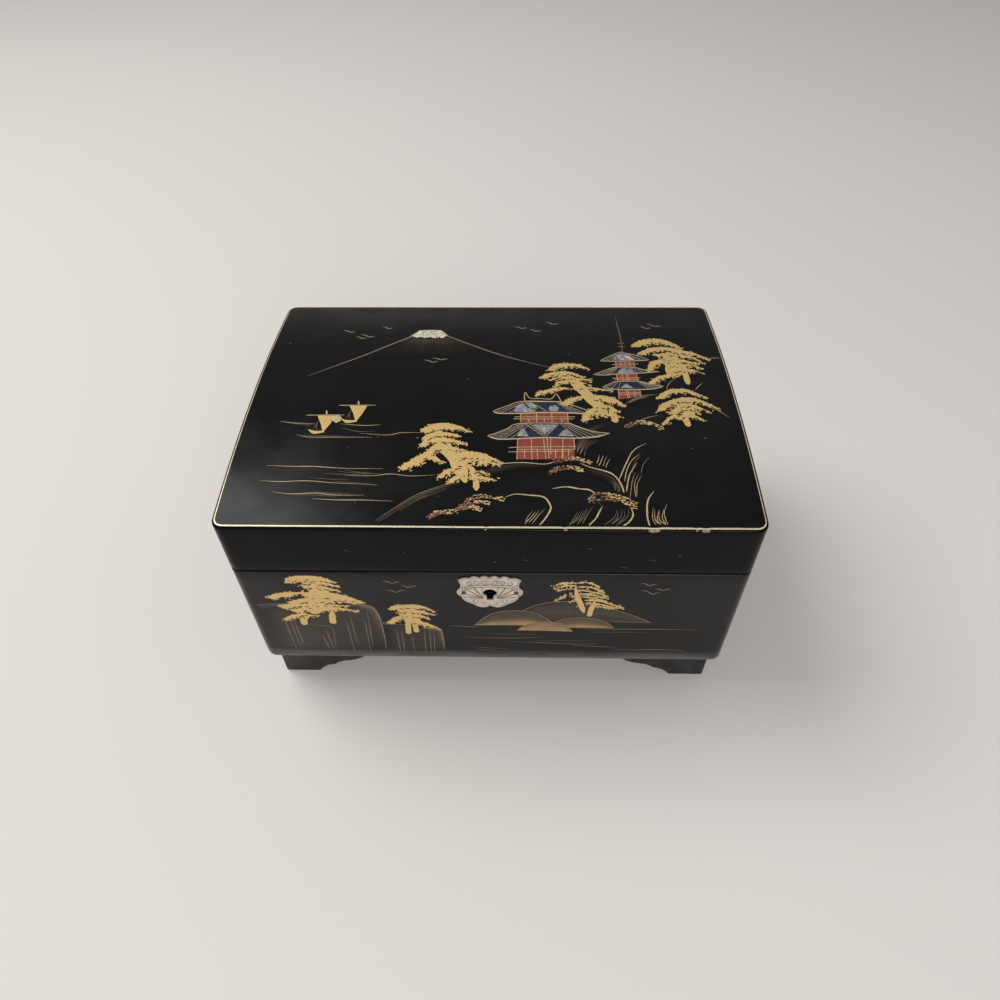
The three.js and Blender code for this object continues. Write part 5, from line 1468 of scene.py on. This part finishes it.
for wings in [
    [(-47.5, 87), (-43, 85.3), (-39.5, 86.5)], [(-39.5, 84), (-36.5, 82.3), (-32.5, 83.5)],
    [(-47, 80.5), (-42, 78.5), (-38, 80.5)], [(66.5, 87), (70, 85), (73.4, 86)],
    [(67, 82), (72.5, 78.6), (75.5, 80)], [(73, 82.8), (76.5, 81.6), (80, 82.8)],
]:
    bird(front_dim, *wings, 0.4)
for name, picture, finish in [
    ("front_gold_pines", front_gold, gold_leafage), ("front_dark_gaps", front_gaps, case_lacquer),
    ("front_cream_leaves", front_cream, gold_border), ("front_dim_lines", front_dim, gold_dim),
    ("front_faint_lines", front_faint, gold_faint), ("front_wash", front_wash, case_lacquer),
]:
    picture.make(name, finish, "case")

# %% [markdown]
# ## Wear
# Where the front edge was knocked, the lacquer flaked off and the wood shows. A few specks of dust
# lie on the lid, and short scuffs cross its front.

# %% Knocks on the front arris and specks on the lid
def flake_finish():
    made = Finish("bare_wood", (0.36, 0.25, 0.19), 0.7)
    made.link(made.ramp(made.noise(0.9, 4), (0.35, (0.11, 0.075, 0.055)), (0.6, (0.40, 0.29, 0.23))),
              "Base Color")
    return made.material


def on_arris(flat, rise):
    """Picture points (x, distance down from where the front arris starts), wrapped round the arris."""
    turn = np.clip(flat[..., 1] / TOP_ARRIS, 0, np.pi / 2)
    out, up = np.sin(turn), np.cos(turn)
    flat_part = np.minimum(flat[..., 1], 0)
    below = np.maximum(flat[..., 1] - TOP_ARRIS * np.pi / 2, 0)
    y = FRONT_Y + TOP_ARRIS * (1 - out) - flat_part - out * rise
    z = EDGE_Z - TOP_ARRIS * (1 - up) - below + up * rise
    return np.stack([flat[..., 0], y, z + 0.08 * up], -1)


flakes = Picture(on_arris, 0.03, 31)
for x, wide in KNOCKS:
    line = np.linspace(x - wide, x + wide, 22)
    swell = np.sqrt(np.clip(1 - ((line - x) / wide) ** 2, 0.02, 1)) * min(wide, 1.6)
    top = 0.75 - 0.55 * flakes.rng.uniform(0.6, 1.1, 22) * swell
    foot = 0.75 + 0.62 * flakes.rng.uniform(0.5, 1.15, 22) * swell
    flakes.patch(np.column_stack([line, foot]), np.column_stack([line, top]), 7)
flakes.make("lid_knocks", flake_finish(), "lid")
scuffs = Picture(on_front, 0.03, 35)
for x, z, length in [(-61, 108.5, 3.0), (14, 103, 2.6), (41, 111, 2.4), (67, 103.5, 4.0), (79, 106.5, 2.2),
                     (56, 98.5, 3.2)]:
    scuffs.stroke([(x, z), (x + length / 2, z - 0.3), (x + length, z - 0.9)], 0.2, 14, (0.4, 0.5))
scuffs.dabs([(-35.5, 107.5), (2.5, 101.2), (88, 99.5)], 0.6, 0.5, 0.3)
scuffs.make("lid_front_scuffs", gold_faint, "lid")
specks = Picture(on_lid, 0.05, 33)
specks.dabs(specks.rng.uniform(-1, 1, (26, 2)) * (HALF - 6) + [0, MIDDLE_Y], 0.42, 0.3, 0, 0.6)
specks.make("lid_specks", Finish("dust_speck", (0.34, 0.34, 0.34), 0.9).material, "lid")

# %% [markdown]
# ## The lock plate
# The plate is pressed nickel with a scalloped edge. Its relief has a band of scrolls above an arch,
# a fan of petals on each side of the keyhole, and more scrolls below. Seen from the keyhole its edge
# turns only once, so the plate is a polar grid from the keyhole's edge out to the plate's edge.

# %% The plate's edge and the polar grid
PLATE_TOP, SCALLOP_RISE = 11.0, 2.3
SCALLOPS = [(4.4, 10.8), (9.0, 10.4), (13.9, 9.0)]
SIDES = [(12.4, 6.2, 13.3, 3.2), (16.4, 0, 13.1, -2.4), (12.2, -6.4, 8.1, -8.2), (3.8, -12.8, 0, -9.5)]


def bent(a, b, c, count=12):
    """Points of a quadratic curve from a to c, pulled towards b."""
    t = np.linspace(0, 1, count, endpoint=False)[:, None]
    a, b, c = np.array([a, b, c], float)
    return (1 - t) ** 2 * a + 2 * t * (1 - t) * b + t**2 * c


def plate_edge():
    """The right half of the edge from the top middle down, and its mirror image, about the keyhole."""
    curves, at = [], (0, PLATE_TOP)
    for x, z in SCALLOPS:
        curves.append(bent(at, ((at[0] + x) / 2, z + SCALLOP_RISE), (x, z)))
        at = (x, z)
    for bx, bz, x, z in SIDES:
        curves.append(bent(at, (bx, bz), (x, z)))
        at = (x, z)
    half = np.vstack([*curves, [at]])
    return np.vstack([half, (half * [-1, 1])[-2:0:-1]])


def reach_at(edge, angle):
    """Distance from the keyhole's middle to an edge, at each angle."""
    turn = np.arctan2(edge[:, 1], edge[:, 0])
    order = np.argsort(turn)
    return np.interp(angle, turn[order], np.hypot(*edge.T)[order], period=2 * np.pi)


# %% Engrave it and give it thickness
PLATE_FACE, PLATE_BACK = span("escutcheon")[0][1], span("escutcheon")[1][1]
RELIEF = 0.2
PETAL_ROOT, PETAL_EDGES = (3.0, -4.0), [-10, 8, 24, 42.5, 63.5, 88]
SCROLLS = [(2.4, 7.9, 1.15), (5.6, 7.7, 1.1), (8.9, 7.0, 1.05), (11.4, 4.9, 0.9), (6.5, -6.0, 1.1),
           (2.6, -8.0, 0.8)]


def ridge(distance_to, wide):
    """0 away from a line and 1 on it."""
    return np.exp(-((distance_to / wide) ** 2))


def engraving(flat, inward):
    """Relief and tarnish from place on the plate, about the keyhole, and distance in from its edge."""
    x, z = np.abs(flat[..., 0]), flat[..., 1]
    arch_line = 5.1 - 0.5 * (x / 9) ** 7.3 + 0.9 * np.exp(-((x / 1.2) ** 2))
    under_arch = arch_line - z
    high = 0.9 * ridge(under_arch, 0.45)
    dark = ridge(under_arch + 0.8, 0.3) + 0.9 * ridge(under_arch - 0.8, 0.24)
    angle = np.degrees(np.arctan2(z - PETAL_ROOT[1], x - PETAL_ROOT[0]))
    radius = np.hypot(z - PETAL_ROOT[1], x - PETAL_ROOT[0])
    fan = (x > 2.2) & (inward > 1.4) & (under_arch > 0.8)
    fan &= (angle > PETAL_EDGES[0]) & (angle < PETAL_EDGES[-1])
    petal = np.clip(np.searchsorted(PETAL_EDGES, angle) - 1, 0, len(PETAL_EDGES) - 2)
    first, last = np.take(PETAL_EDGES, petal), np.take(PETAL_EDGES, petal + 1)
    share = np.clip((angle - first) / (last - first), 0, 1)
    high += fan * 0.9 * np.sqrt(1 - (2 * share - 1) ** 2)
    to_edge = np.minimum(share, 1 - share) * (last - first) * radius * np.pi / 180
    dark += fan * ridge(to_edge, 0.3)
    for at_x, at_z, size in SCROLLS:
        dx, dz = x - at_x, z - at_z
        turn = (np.arctan2(dz, dx) + np.pi) / (2 * np.pi)
        spiral = np.hypot(dx, dz) - size * (0.35 + 0.65 * turn)
        near = (inward > 1.2) & (np.hypot(dx, dz) < 1.3 * size) & ((under_arch < -1.1) | (z < -5))
        high += near * 0.8 * ridge(spiral, 0.26)
        dark += near * ridge(spiral - 0.42, 0.24)
    dark += 0.7 * ridge(inward - 0.95, 0.2)
    high += 0.8 * ridge(inward - 0.45, 0.35)
    return high - 0.7 * dark, np.clip(dark, 0, 1)


def plate_grid(turns=900, steps=64):
    """Front points over (angle, step), with relief, and the depth of the cut at each."""
    angle = np.linspace(0, 2 * np.pi, turns, endpoint=False)
    inner = reach_at(keyhole_outline(160), angle)
    outer = reach_at(plate_edge(), angle)
    t = np.linspace(0, 1, steps)
    radius = inner[:, None] + (outer - inner)[:, None] * t
    flat = np.stack([radius * np.cos(angle)[:, None], radius * np.sin(angle)[:, None]], -1)
    inward = (outer - inner)[:, None] * (1 - t)
    from_hole = (outer - inner)[:, None] * t
    high, dark = engraving(flat, inward)
    fall = np.clip(1 - inward / 0.25, 0, 1) ** 2 + np.clip(1 - from_hole / 0.2, 0, 1) ** 2
    rise = RELIEF * np.minimum(high + 0.8 * ridge(from_hole - 0.35, 0.35) - 1.6 * fall, 1)
    return flat, rise, dark


plate_flat, plate_rise, plate_dark = plate_grid()
turns, steps = plate_rise.shape
front = np.stack([plate_flat[..., 0], PLATE_FACE + RELIEF - plate_rise, plate_flat[..., 1] + KEYHOLE_Z], -1)
back = front[:, [-1, 0]].copy()
back[..., 1] = PLATE_BACK
section = np.concatenate([front, back], 1)
plate_faces = ring_faces(*section.shape[:2])
lock_plate = place_mesh("lock_plate", section, plate_faces[:, ::-1].tolist(), nickel, "case", 50)
set_attribute(lock_plate, "tarnish", np.concatenate([plate_dark, plate_dark[:, [-1, 0]]], 1).ravel())
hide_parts("escutcheon")
print("lock plate:", turns, "rays of", steps, "points")

# %% [markdown]
# ## Round-headed pins
# Two small brass pins hold the plate. Each is turned: a domed head on a shaft, a profile of radius
# against depth spun about the pin's own line.

# %% The plate's pins
def turned(name, at, profile, finish, body, axis=1, sides=24):
    """Spins (radius, along) pairs about an axis through a point. The first and last radius are 0."""
    radius, along = np.array(profile, float).T
    angle = np.linspace(0, 2 * np.pi, sides, endpoint=False)
    points = np.zeros((sides, len(radius), 3))
    others = [k for k in range(3) if k != axis]
    points[..., others[0]] = np.cos(angle)[:, None] * radius
    points[..., others[1]] = np.sin(angle)[:, None] * radius
    points[..., axis] = along
    faces = ring_faces(sides, len(radius)).tolist()
    made = place_mesh(name, points + np.asarray(at, float), faces, finish, body)
    merge_close(made)
    face_outward(made)
    return made


for side in ("left", "right"):
    low, high = span(f"escutcheon_pin_{side}")
    middle = (low + high) / 2
    dome, head = PLATE_FACE - low[1], (high[0] - low[0]) / 2
    t = np.linspace(0, np.pi / 2, 6)
    cap = [(head * np.sin(a), low[1] + dome * (1 - np.cos(a))) for a in t]
    profile = [*cap, (0.45, PLATE_FACE + 0.02), (0.45, high[1] - 0.5), (0, high[1])]
    pin = turned(f"plate_pin_{side}", (middle[0], 0, middle[2]), profile, pin_brass, "case")
    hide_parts(f"escutcheon_pin_{side}")

# %% [markdown]
# ## The bracket feet
# Each foot is two shaped boards mitred at the corner, painted satin black: a flat toe, a small step
# and a long ogee. One board's outline is carried through its thickness with softened edges. Each of
# its lines starts as far along the board as it lies deep in it, and that makes the mitre.

# %% Shape a foot
FOOT_EASE, FOOT_THICK = 1.1, 9.5


def foot_outline():
    """The lower edge of one board from the toe to its tip, as (along, up), and the same at the top."""
    top = span("foot_front_left")[1][2]
    length = (span("foot_front_left")[1] - span("foot_front_left")[0])[0]
    lower = np.vstack([
        [[0, 0]], bent((0, 0), (9, 0), (17.3, 0), 6), bent((17.3, 0), (19.5, 4.2), (24, 5.8), 12),
        bent((24, 5.8), (25.2, 6.15), (26.5, 6.5), 4), bent((26.5, 6.5), (28.5, 9.4), (34, 10.2), 12),
        bent((34, 10.2), (42, 11.6), (length, top - 0.3), 16), [[length, top - 0.3]],
    ])[1:]
    return lower, np.column_stack([lower[:, 0], np.full(len(lower), top)])


def foot_board(thick):
    """A closed board: at each station along it, a rounded rectangle from its lower edge to its top."""
    lower, upper = foot_outline()
    e = FOOT_EASE
    section = [(0, e, 0), (0.3 * e, 0.3 * e, 0), (e, 0, 0), (thick - e, 0, 0), (thick, e, 0),
               (thick, 0, 1), (0, 0, 1)]
    columns = []
    for depth, lift, at_top in section:
        line = (upper if at_top else lower).copy()
        height = line[:, 1] + (0 if at_top else np.minimum(lift, 0.45 * (upper - lower)[:, 1]))
        along = np.maximum(line[:, 0], depth)
        columns.append(np.column_stack([along, np.full(len(line), depth), height]))
    return np.array(columns).transpose(1, 0, 2)


def bracket_foot(name, sx, sy):
    """Two boards that meet on the mitre, set at one corner of the box."""
    low, high = span(name)
    corner = np.array([low[0] if sx < 0 else high[0], low[1] if sy < 0 else high[1], 0.0])
    board = foot_board(FOOT_THICK)
    other = board[..., [1, 0, 2]]
    points, faces = [], []
    for grid, flip in ((board, False), (other, True)):
        quads = tube_faces(*grid.shape[:2])
        if flip == (sx * sy < 0):
            quads = [face[::-1] for face in quads]
        faces += [[v + sum(len(p) for p in points) for v in face] for face in quads]
        points.append(grid.reshape(-1, 3) * [-sx, -sy, 1] + corner)
    made = place_mesh(name + "_bracket", np.vstack(points), faces, satin_black, "case", 40)
    merge_close(made, 0.001)
    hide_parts(name)
    return made


for name, sx, sy in [("foot_front_left", -1, -1), ("foot_front_right", 1, -1),
                     ("foot_back_left", -1, 1), ("foot_back_right", 1, 1)]:
    bracket_foot(name, sx, sy)

# %% [markdown]
# ## Dressing the metal and the cards
# Hinges, lock, mirror, cards and movement already have their true shapes. A copy of each gets its
# loose triangles merged, its sharp edges rounded a little so that they catch light, and a finish.

# %% Dress copies of the shaped nodes
BODY_OF = {node: body for body, nodes in frame["record"]["behaviour"]["bodies"].items() for node in nodes}


def dress(node, finish, edge=0.12, segments=2, name=None):
    """A copy of a CAD node with merged points, rounded edges and a finish, in the node's place."""
    mesh = bmesh.new()
    mesh.from_mesh(frame["nodes"][node].data)
    bmesh.ops.remove_doubles(mesh, verts=mesh.verts, dist=1e-6)
    bmesh.ops.dissolve_limit(mesh, angle_limit=0.01, verts=mesh.verts, edges=mesh.edges)
    data = bpy.data.meshes.new(node + "_dressed")
    mesh.to_mesh(data)
    mesh.free()
    data.materials.clear()
    data.materials.append(finish)
    data.polygons.foreach_set("use_smooth", np.ones(len(data.polygons), bool))
    data.set_sharp_from_angle(angle=np.radians(32))
    made = bpy.data.objects.new(name or node + "_dressed", data)
    bpy.context.scene.collection.objects.link(made)
    if edge:
        bevel = made.modifiers.new("edges", "BEVEL")
        bevel.width, bevel.segments = edge * MM, segments
        bevel.limit_method, bevel.angle_limit = "ANGLE", np.radians(32)
        bevel.harden_normals = True
    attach(made, BODY_OF[node])
    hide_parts(node)
    return made


HARDWARE = {
    (brass, "brass", 0.15): ["hinge_left_case_leaf", "hinge_left_lid_leaf", "hinge_right_case_leaf",
                             "hinge_right_lid_leaf", "hinge_left_pin", "hinge_right_pin", "lock_bolt",
                             "lock_strike", "winding_key"],
    (pin_brass, "brass", 0.12): ["lock_case"],
    (gilt, "brass", 0.1): ["bedplate", "barrel", "cylinder_wheel", "governor_bracket", "stop_guide"],
    (brass, "brass", 0.0): ["cylinder"],
    (steel, "steel", 0.05): ["mainspring", "winding_arbor", "cylinder_arbor", "comb", "comb_screw_left",
                             "comb_screw_right", "stop_plunger"],
    (white_plastic, "white_plastic", 0.05): ["governor_wheel", "fly"],
    (clear_sheet, "clear_acrylic", 0.3): ["movement_cover"],
    (satin_black, "satin_black", 0.4): ["case_bottom"],
    (lacquer, "black_lacquer", 0.5): ["mirror_frame"],
    (mirror_glass, "silvered_glass", 0.5): ["mirror"],
}
for (finish, slot_name, edge), nodes in HARDWARE.items():
    for node in nodes:
        dress(node, finish, edge)
CARDS = ["liner_front", "liner_back", "liner_left", "liner_right", "rear_divider", "movement_wall",
         "front_divider", "ring_shelf", "lid_lining"]
for node in CARDS:
    dress(node, velvet, 0.8, 4)
dress("floor_pad", velvet, 0.9, 4)
print("dressed nodes:", sum(len(n) for n in HARDWARE.values()) + len(CARDS) + 1)

# %% [markdown]
# ## Screws and the tune
# The hinges, the lock and its strike are held by small slotted screws: a domed head turned about the
# vertical, with a slot sawn across it. The cylinder carries the tune as short pins, one row for each
# tooth of the comb. The real tune isn't known, so the beats in each row are drawn at random.

# %% Slotted screws
HEAD, DOME, SUNK_HEAD, SLOT_WIDE, SLOT_DEEP, SAW_REACH = 1.35, 0.22, 0.3, 0.34, 0.3, 2
LEAF_SCREW_APART, LEAF_SCREW_IN, LEAF_FACE = 8, 3.5, 0.5
LOCK_SCREW_X, STRIKE_SCREW_X = 10.4, 6.2


def slotted_screw(name, at, up, body, finish):
    """A head whose flat side lies on the point at. up is 1 where it faces up and -1 where it faces down."""
    x, y, z = at
    t = np.linspace(0, np.pi / 2, 6)
    dome = [(HEAD * np.cos(a), z + up * DOME * np.sin(a)) for a in t[:-1]]
    profile = [(0, z - up * SUNK_HEAD), (HEAD, z - up * SUNK_HEAD), *dome, (0, z + up * DOME)]
    made = turned(name, (x, y, 0), profile, finish, body, axis=2, sides=28)
    low, high = sorted((z + up * (DOME - SLOT_DEEP), z + up))
    saw = cutter_box((x - SAW_REACH, y - SLOT_WIDE / 2, low), (x + SAW_REACH, y + SLOT_WIDE / 2, high))
    cut(made, [saw])
    return made


for side in ("left", "right"):
    for part, body, up in (("case", "case", 1), ("lid", "lid", -1)):
        low, high = span(f"hinge_{side}_{part}_leaf")
        pin_low, pin_high = span(f"hinge_{side}_pin")
        seat = (pin_low[2] + pin_high[2]) / 2 - LEAF_FACE * up
        for number, across in enumerate((-1, 1)):
            at = ((low[0] + high[0]) / 2 + LEAF_SCREW_APART * across, low[1] + LEAF_SCREW_IN, seat)
            slotted_screw(f"hinge_{side}_{part}_screw_{number + 1}", at, up, body, brass)
for number, across in enumerate((-1, 1)):
    at = (LOCK_SCREW_X * across, (lock_low[1] + lock_high[1]) / 2, lock_high[2])
    slotted_screw(f"lock_screw_{number + 1}", at, 1, "case", brass)
    at = (STRIKE_SCREW_X * across, (strike_low[1] + strike_high[1]) / 2, SEAM_HIGH + FIT)
    slotted_screw(f"strike_screw_{number + 1}", at, -1, "lid", brass)

# %% The pins of the tune
TRACKS, BEATS, NOTES = 18, 40, 9
PIN_HALF, PIN_REACH, PIN_ROOT = 0.16, 0.7, 0.5
CAD_PIN, FIRST_TRACK = 0.8, 1.5


def tune_pins(seed=8):
    """One small four-sided pin for each note: its row is the tooth, and its angle a random beat."""
    rng = np.random.default_rng(seed)
    low, high = span("cylinder")
    middle = (low + high) / 2
    radius = (high[1] - low[1]) / 2 - CAD_PIN
    beats = np.array([rng.permutation(BEATS)[:NOTES] for _ in range(TRACKS)])
    angle = (beats * 2 * np.pi / BEATS).ravel()
    along = np.repeat(low[0] + FIRST_TRACK + np.arange(TRACKS), NOTES)
    square = np.array([[-1, -1], [1, -1], [1, 1], [-1, 1]]) * PIN_HALF
    out = np.stack([np.zeros_like(angle), np.cos(angle), np.sin(angle)], -1)
    over = np.stack([np.zeros_like(angle), -np.sin(angle), np.cos(angle)], -1)
    centre = np.column_stack([along, np.full((len(along), 2), middle[1:])])
    points = []
    for reach, size in ((radius - PIN_ROOT, 1.0), (radius + PIN_REACH, 0.8)):
        for a, b in square * size:
            points.append(centre + out * reach + over * b + np.array([a, 0, 0]))
    points = np.stack(points, 1)
    one = [face[::-1] for face in tube_faces(2, 4)]
    faces = [[8 * n + v for v in face] for n in range(len(points)) for face in one]
    return place_mesh("cylinder_pins", points, faces, steel, "pinned_cylinder")


face_outward(tune_pins())
print("pins on the cylinder:", TRACKS * NOTES)

# %% [markdown]
# ## Padded ring rolls
# Rings stand between soft rolls. Each roll is foam wrapped in velvet: its section is a rounded
# arch that narrows to the ends and swells a little between its stitches.

# %% Make the rolls
def ring_roll(node, seed):
    """Section over an arch from foot to foot, drawn in towards the two ends."""
    rng = np.random.default_rng(seed)
    low, high = span(node)
    middle, half = (low + high) / 2, (high - low) / 2
    x = np.linspace(-1, 1, 90)
    x = np.sign(x) * (1 - (1 - np.abs(x)) ** 1.6)
    draw = np.clip((1 - np.abs(x)) * half[0] / (half[1] * 0.9), 0, 1)
    draw = np.sqrt(np.clip(1 - (1 - draw) ** 2, 0.0004, 1))
    swell = 1 - 0.035 * (0.5 + 0.5 * np.cos(x * 7 * np.pi + rng.uniform(-0.4, 0.4)))
    angle = np.linspace(-0.5 * np.pi, 1.5 * np.pi, 48, endpoint=False)
    c, s = np.cos(angle), np.sin(angle)
    across = half[1] * np.sign(c) * np.abs(c) ** 0.8
    up = half[2] * np.sign(s) * np.abs(s) ** np.where(s > 0, 0.9, 0.35)
    scale = (draw * swell)[:, None]
    points = np.stack([
        np.broadcast_to(middle[0] + half[0] * x[:, None], (90, 48)),
        middle[1] + across * scale,
        middle[2] - half[2] * (1 - scale) + up * scale,
    ], -1)
    made = place_mesh(node + "_soft", points, tube_faces(90, 48), velvet, "case", 60)
    face_outward(made)
    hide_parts(node)
    return made


for number in (1, 2, 3, 4):
    ring_roll(f"ring_roll_{number}", number)

# %% [markdown]
# ## The floor
# A plain pale floor stands for the table. It isn't part of the box.

# %% Lay the floor
floor_finish = Finish("pale_floor", (0.88, 0.85, 0.825), 0.85)
floor_finish.bump(floor_finish.noise(1.2, 3), 0.05, 0.3)
FLOOR_HALF = 3.0
floor_mesh = bpy.data.meshes.new("floor")
corners = [(-1, -1, 0), (1, -1, 0), (1, 1, 0), (-1, 1, 0)]
floor_mesh.from_pydata([tuple(FLOOR_HALF * c for c in corner) for corner in corners], [], [[0, 1, 2, 3]])
floor_mesh.materials.append(floor_finish.material)
floor = bpy.data.objects.new("floor", floor_mesh)
bpy.context.scene.collection.objects.link(floor)
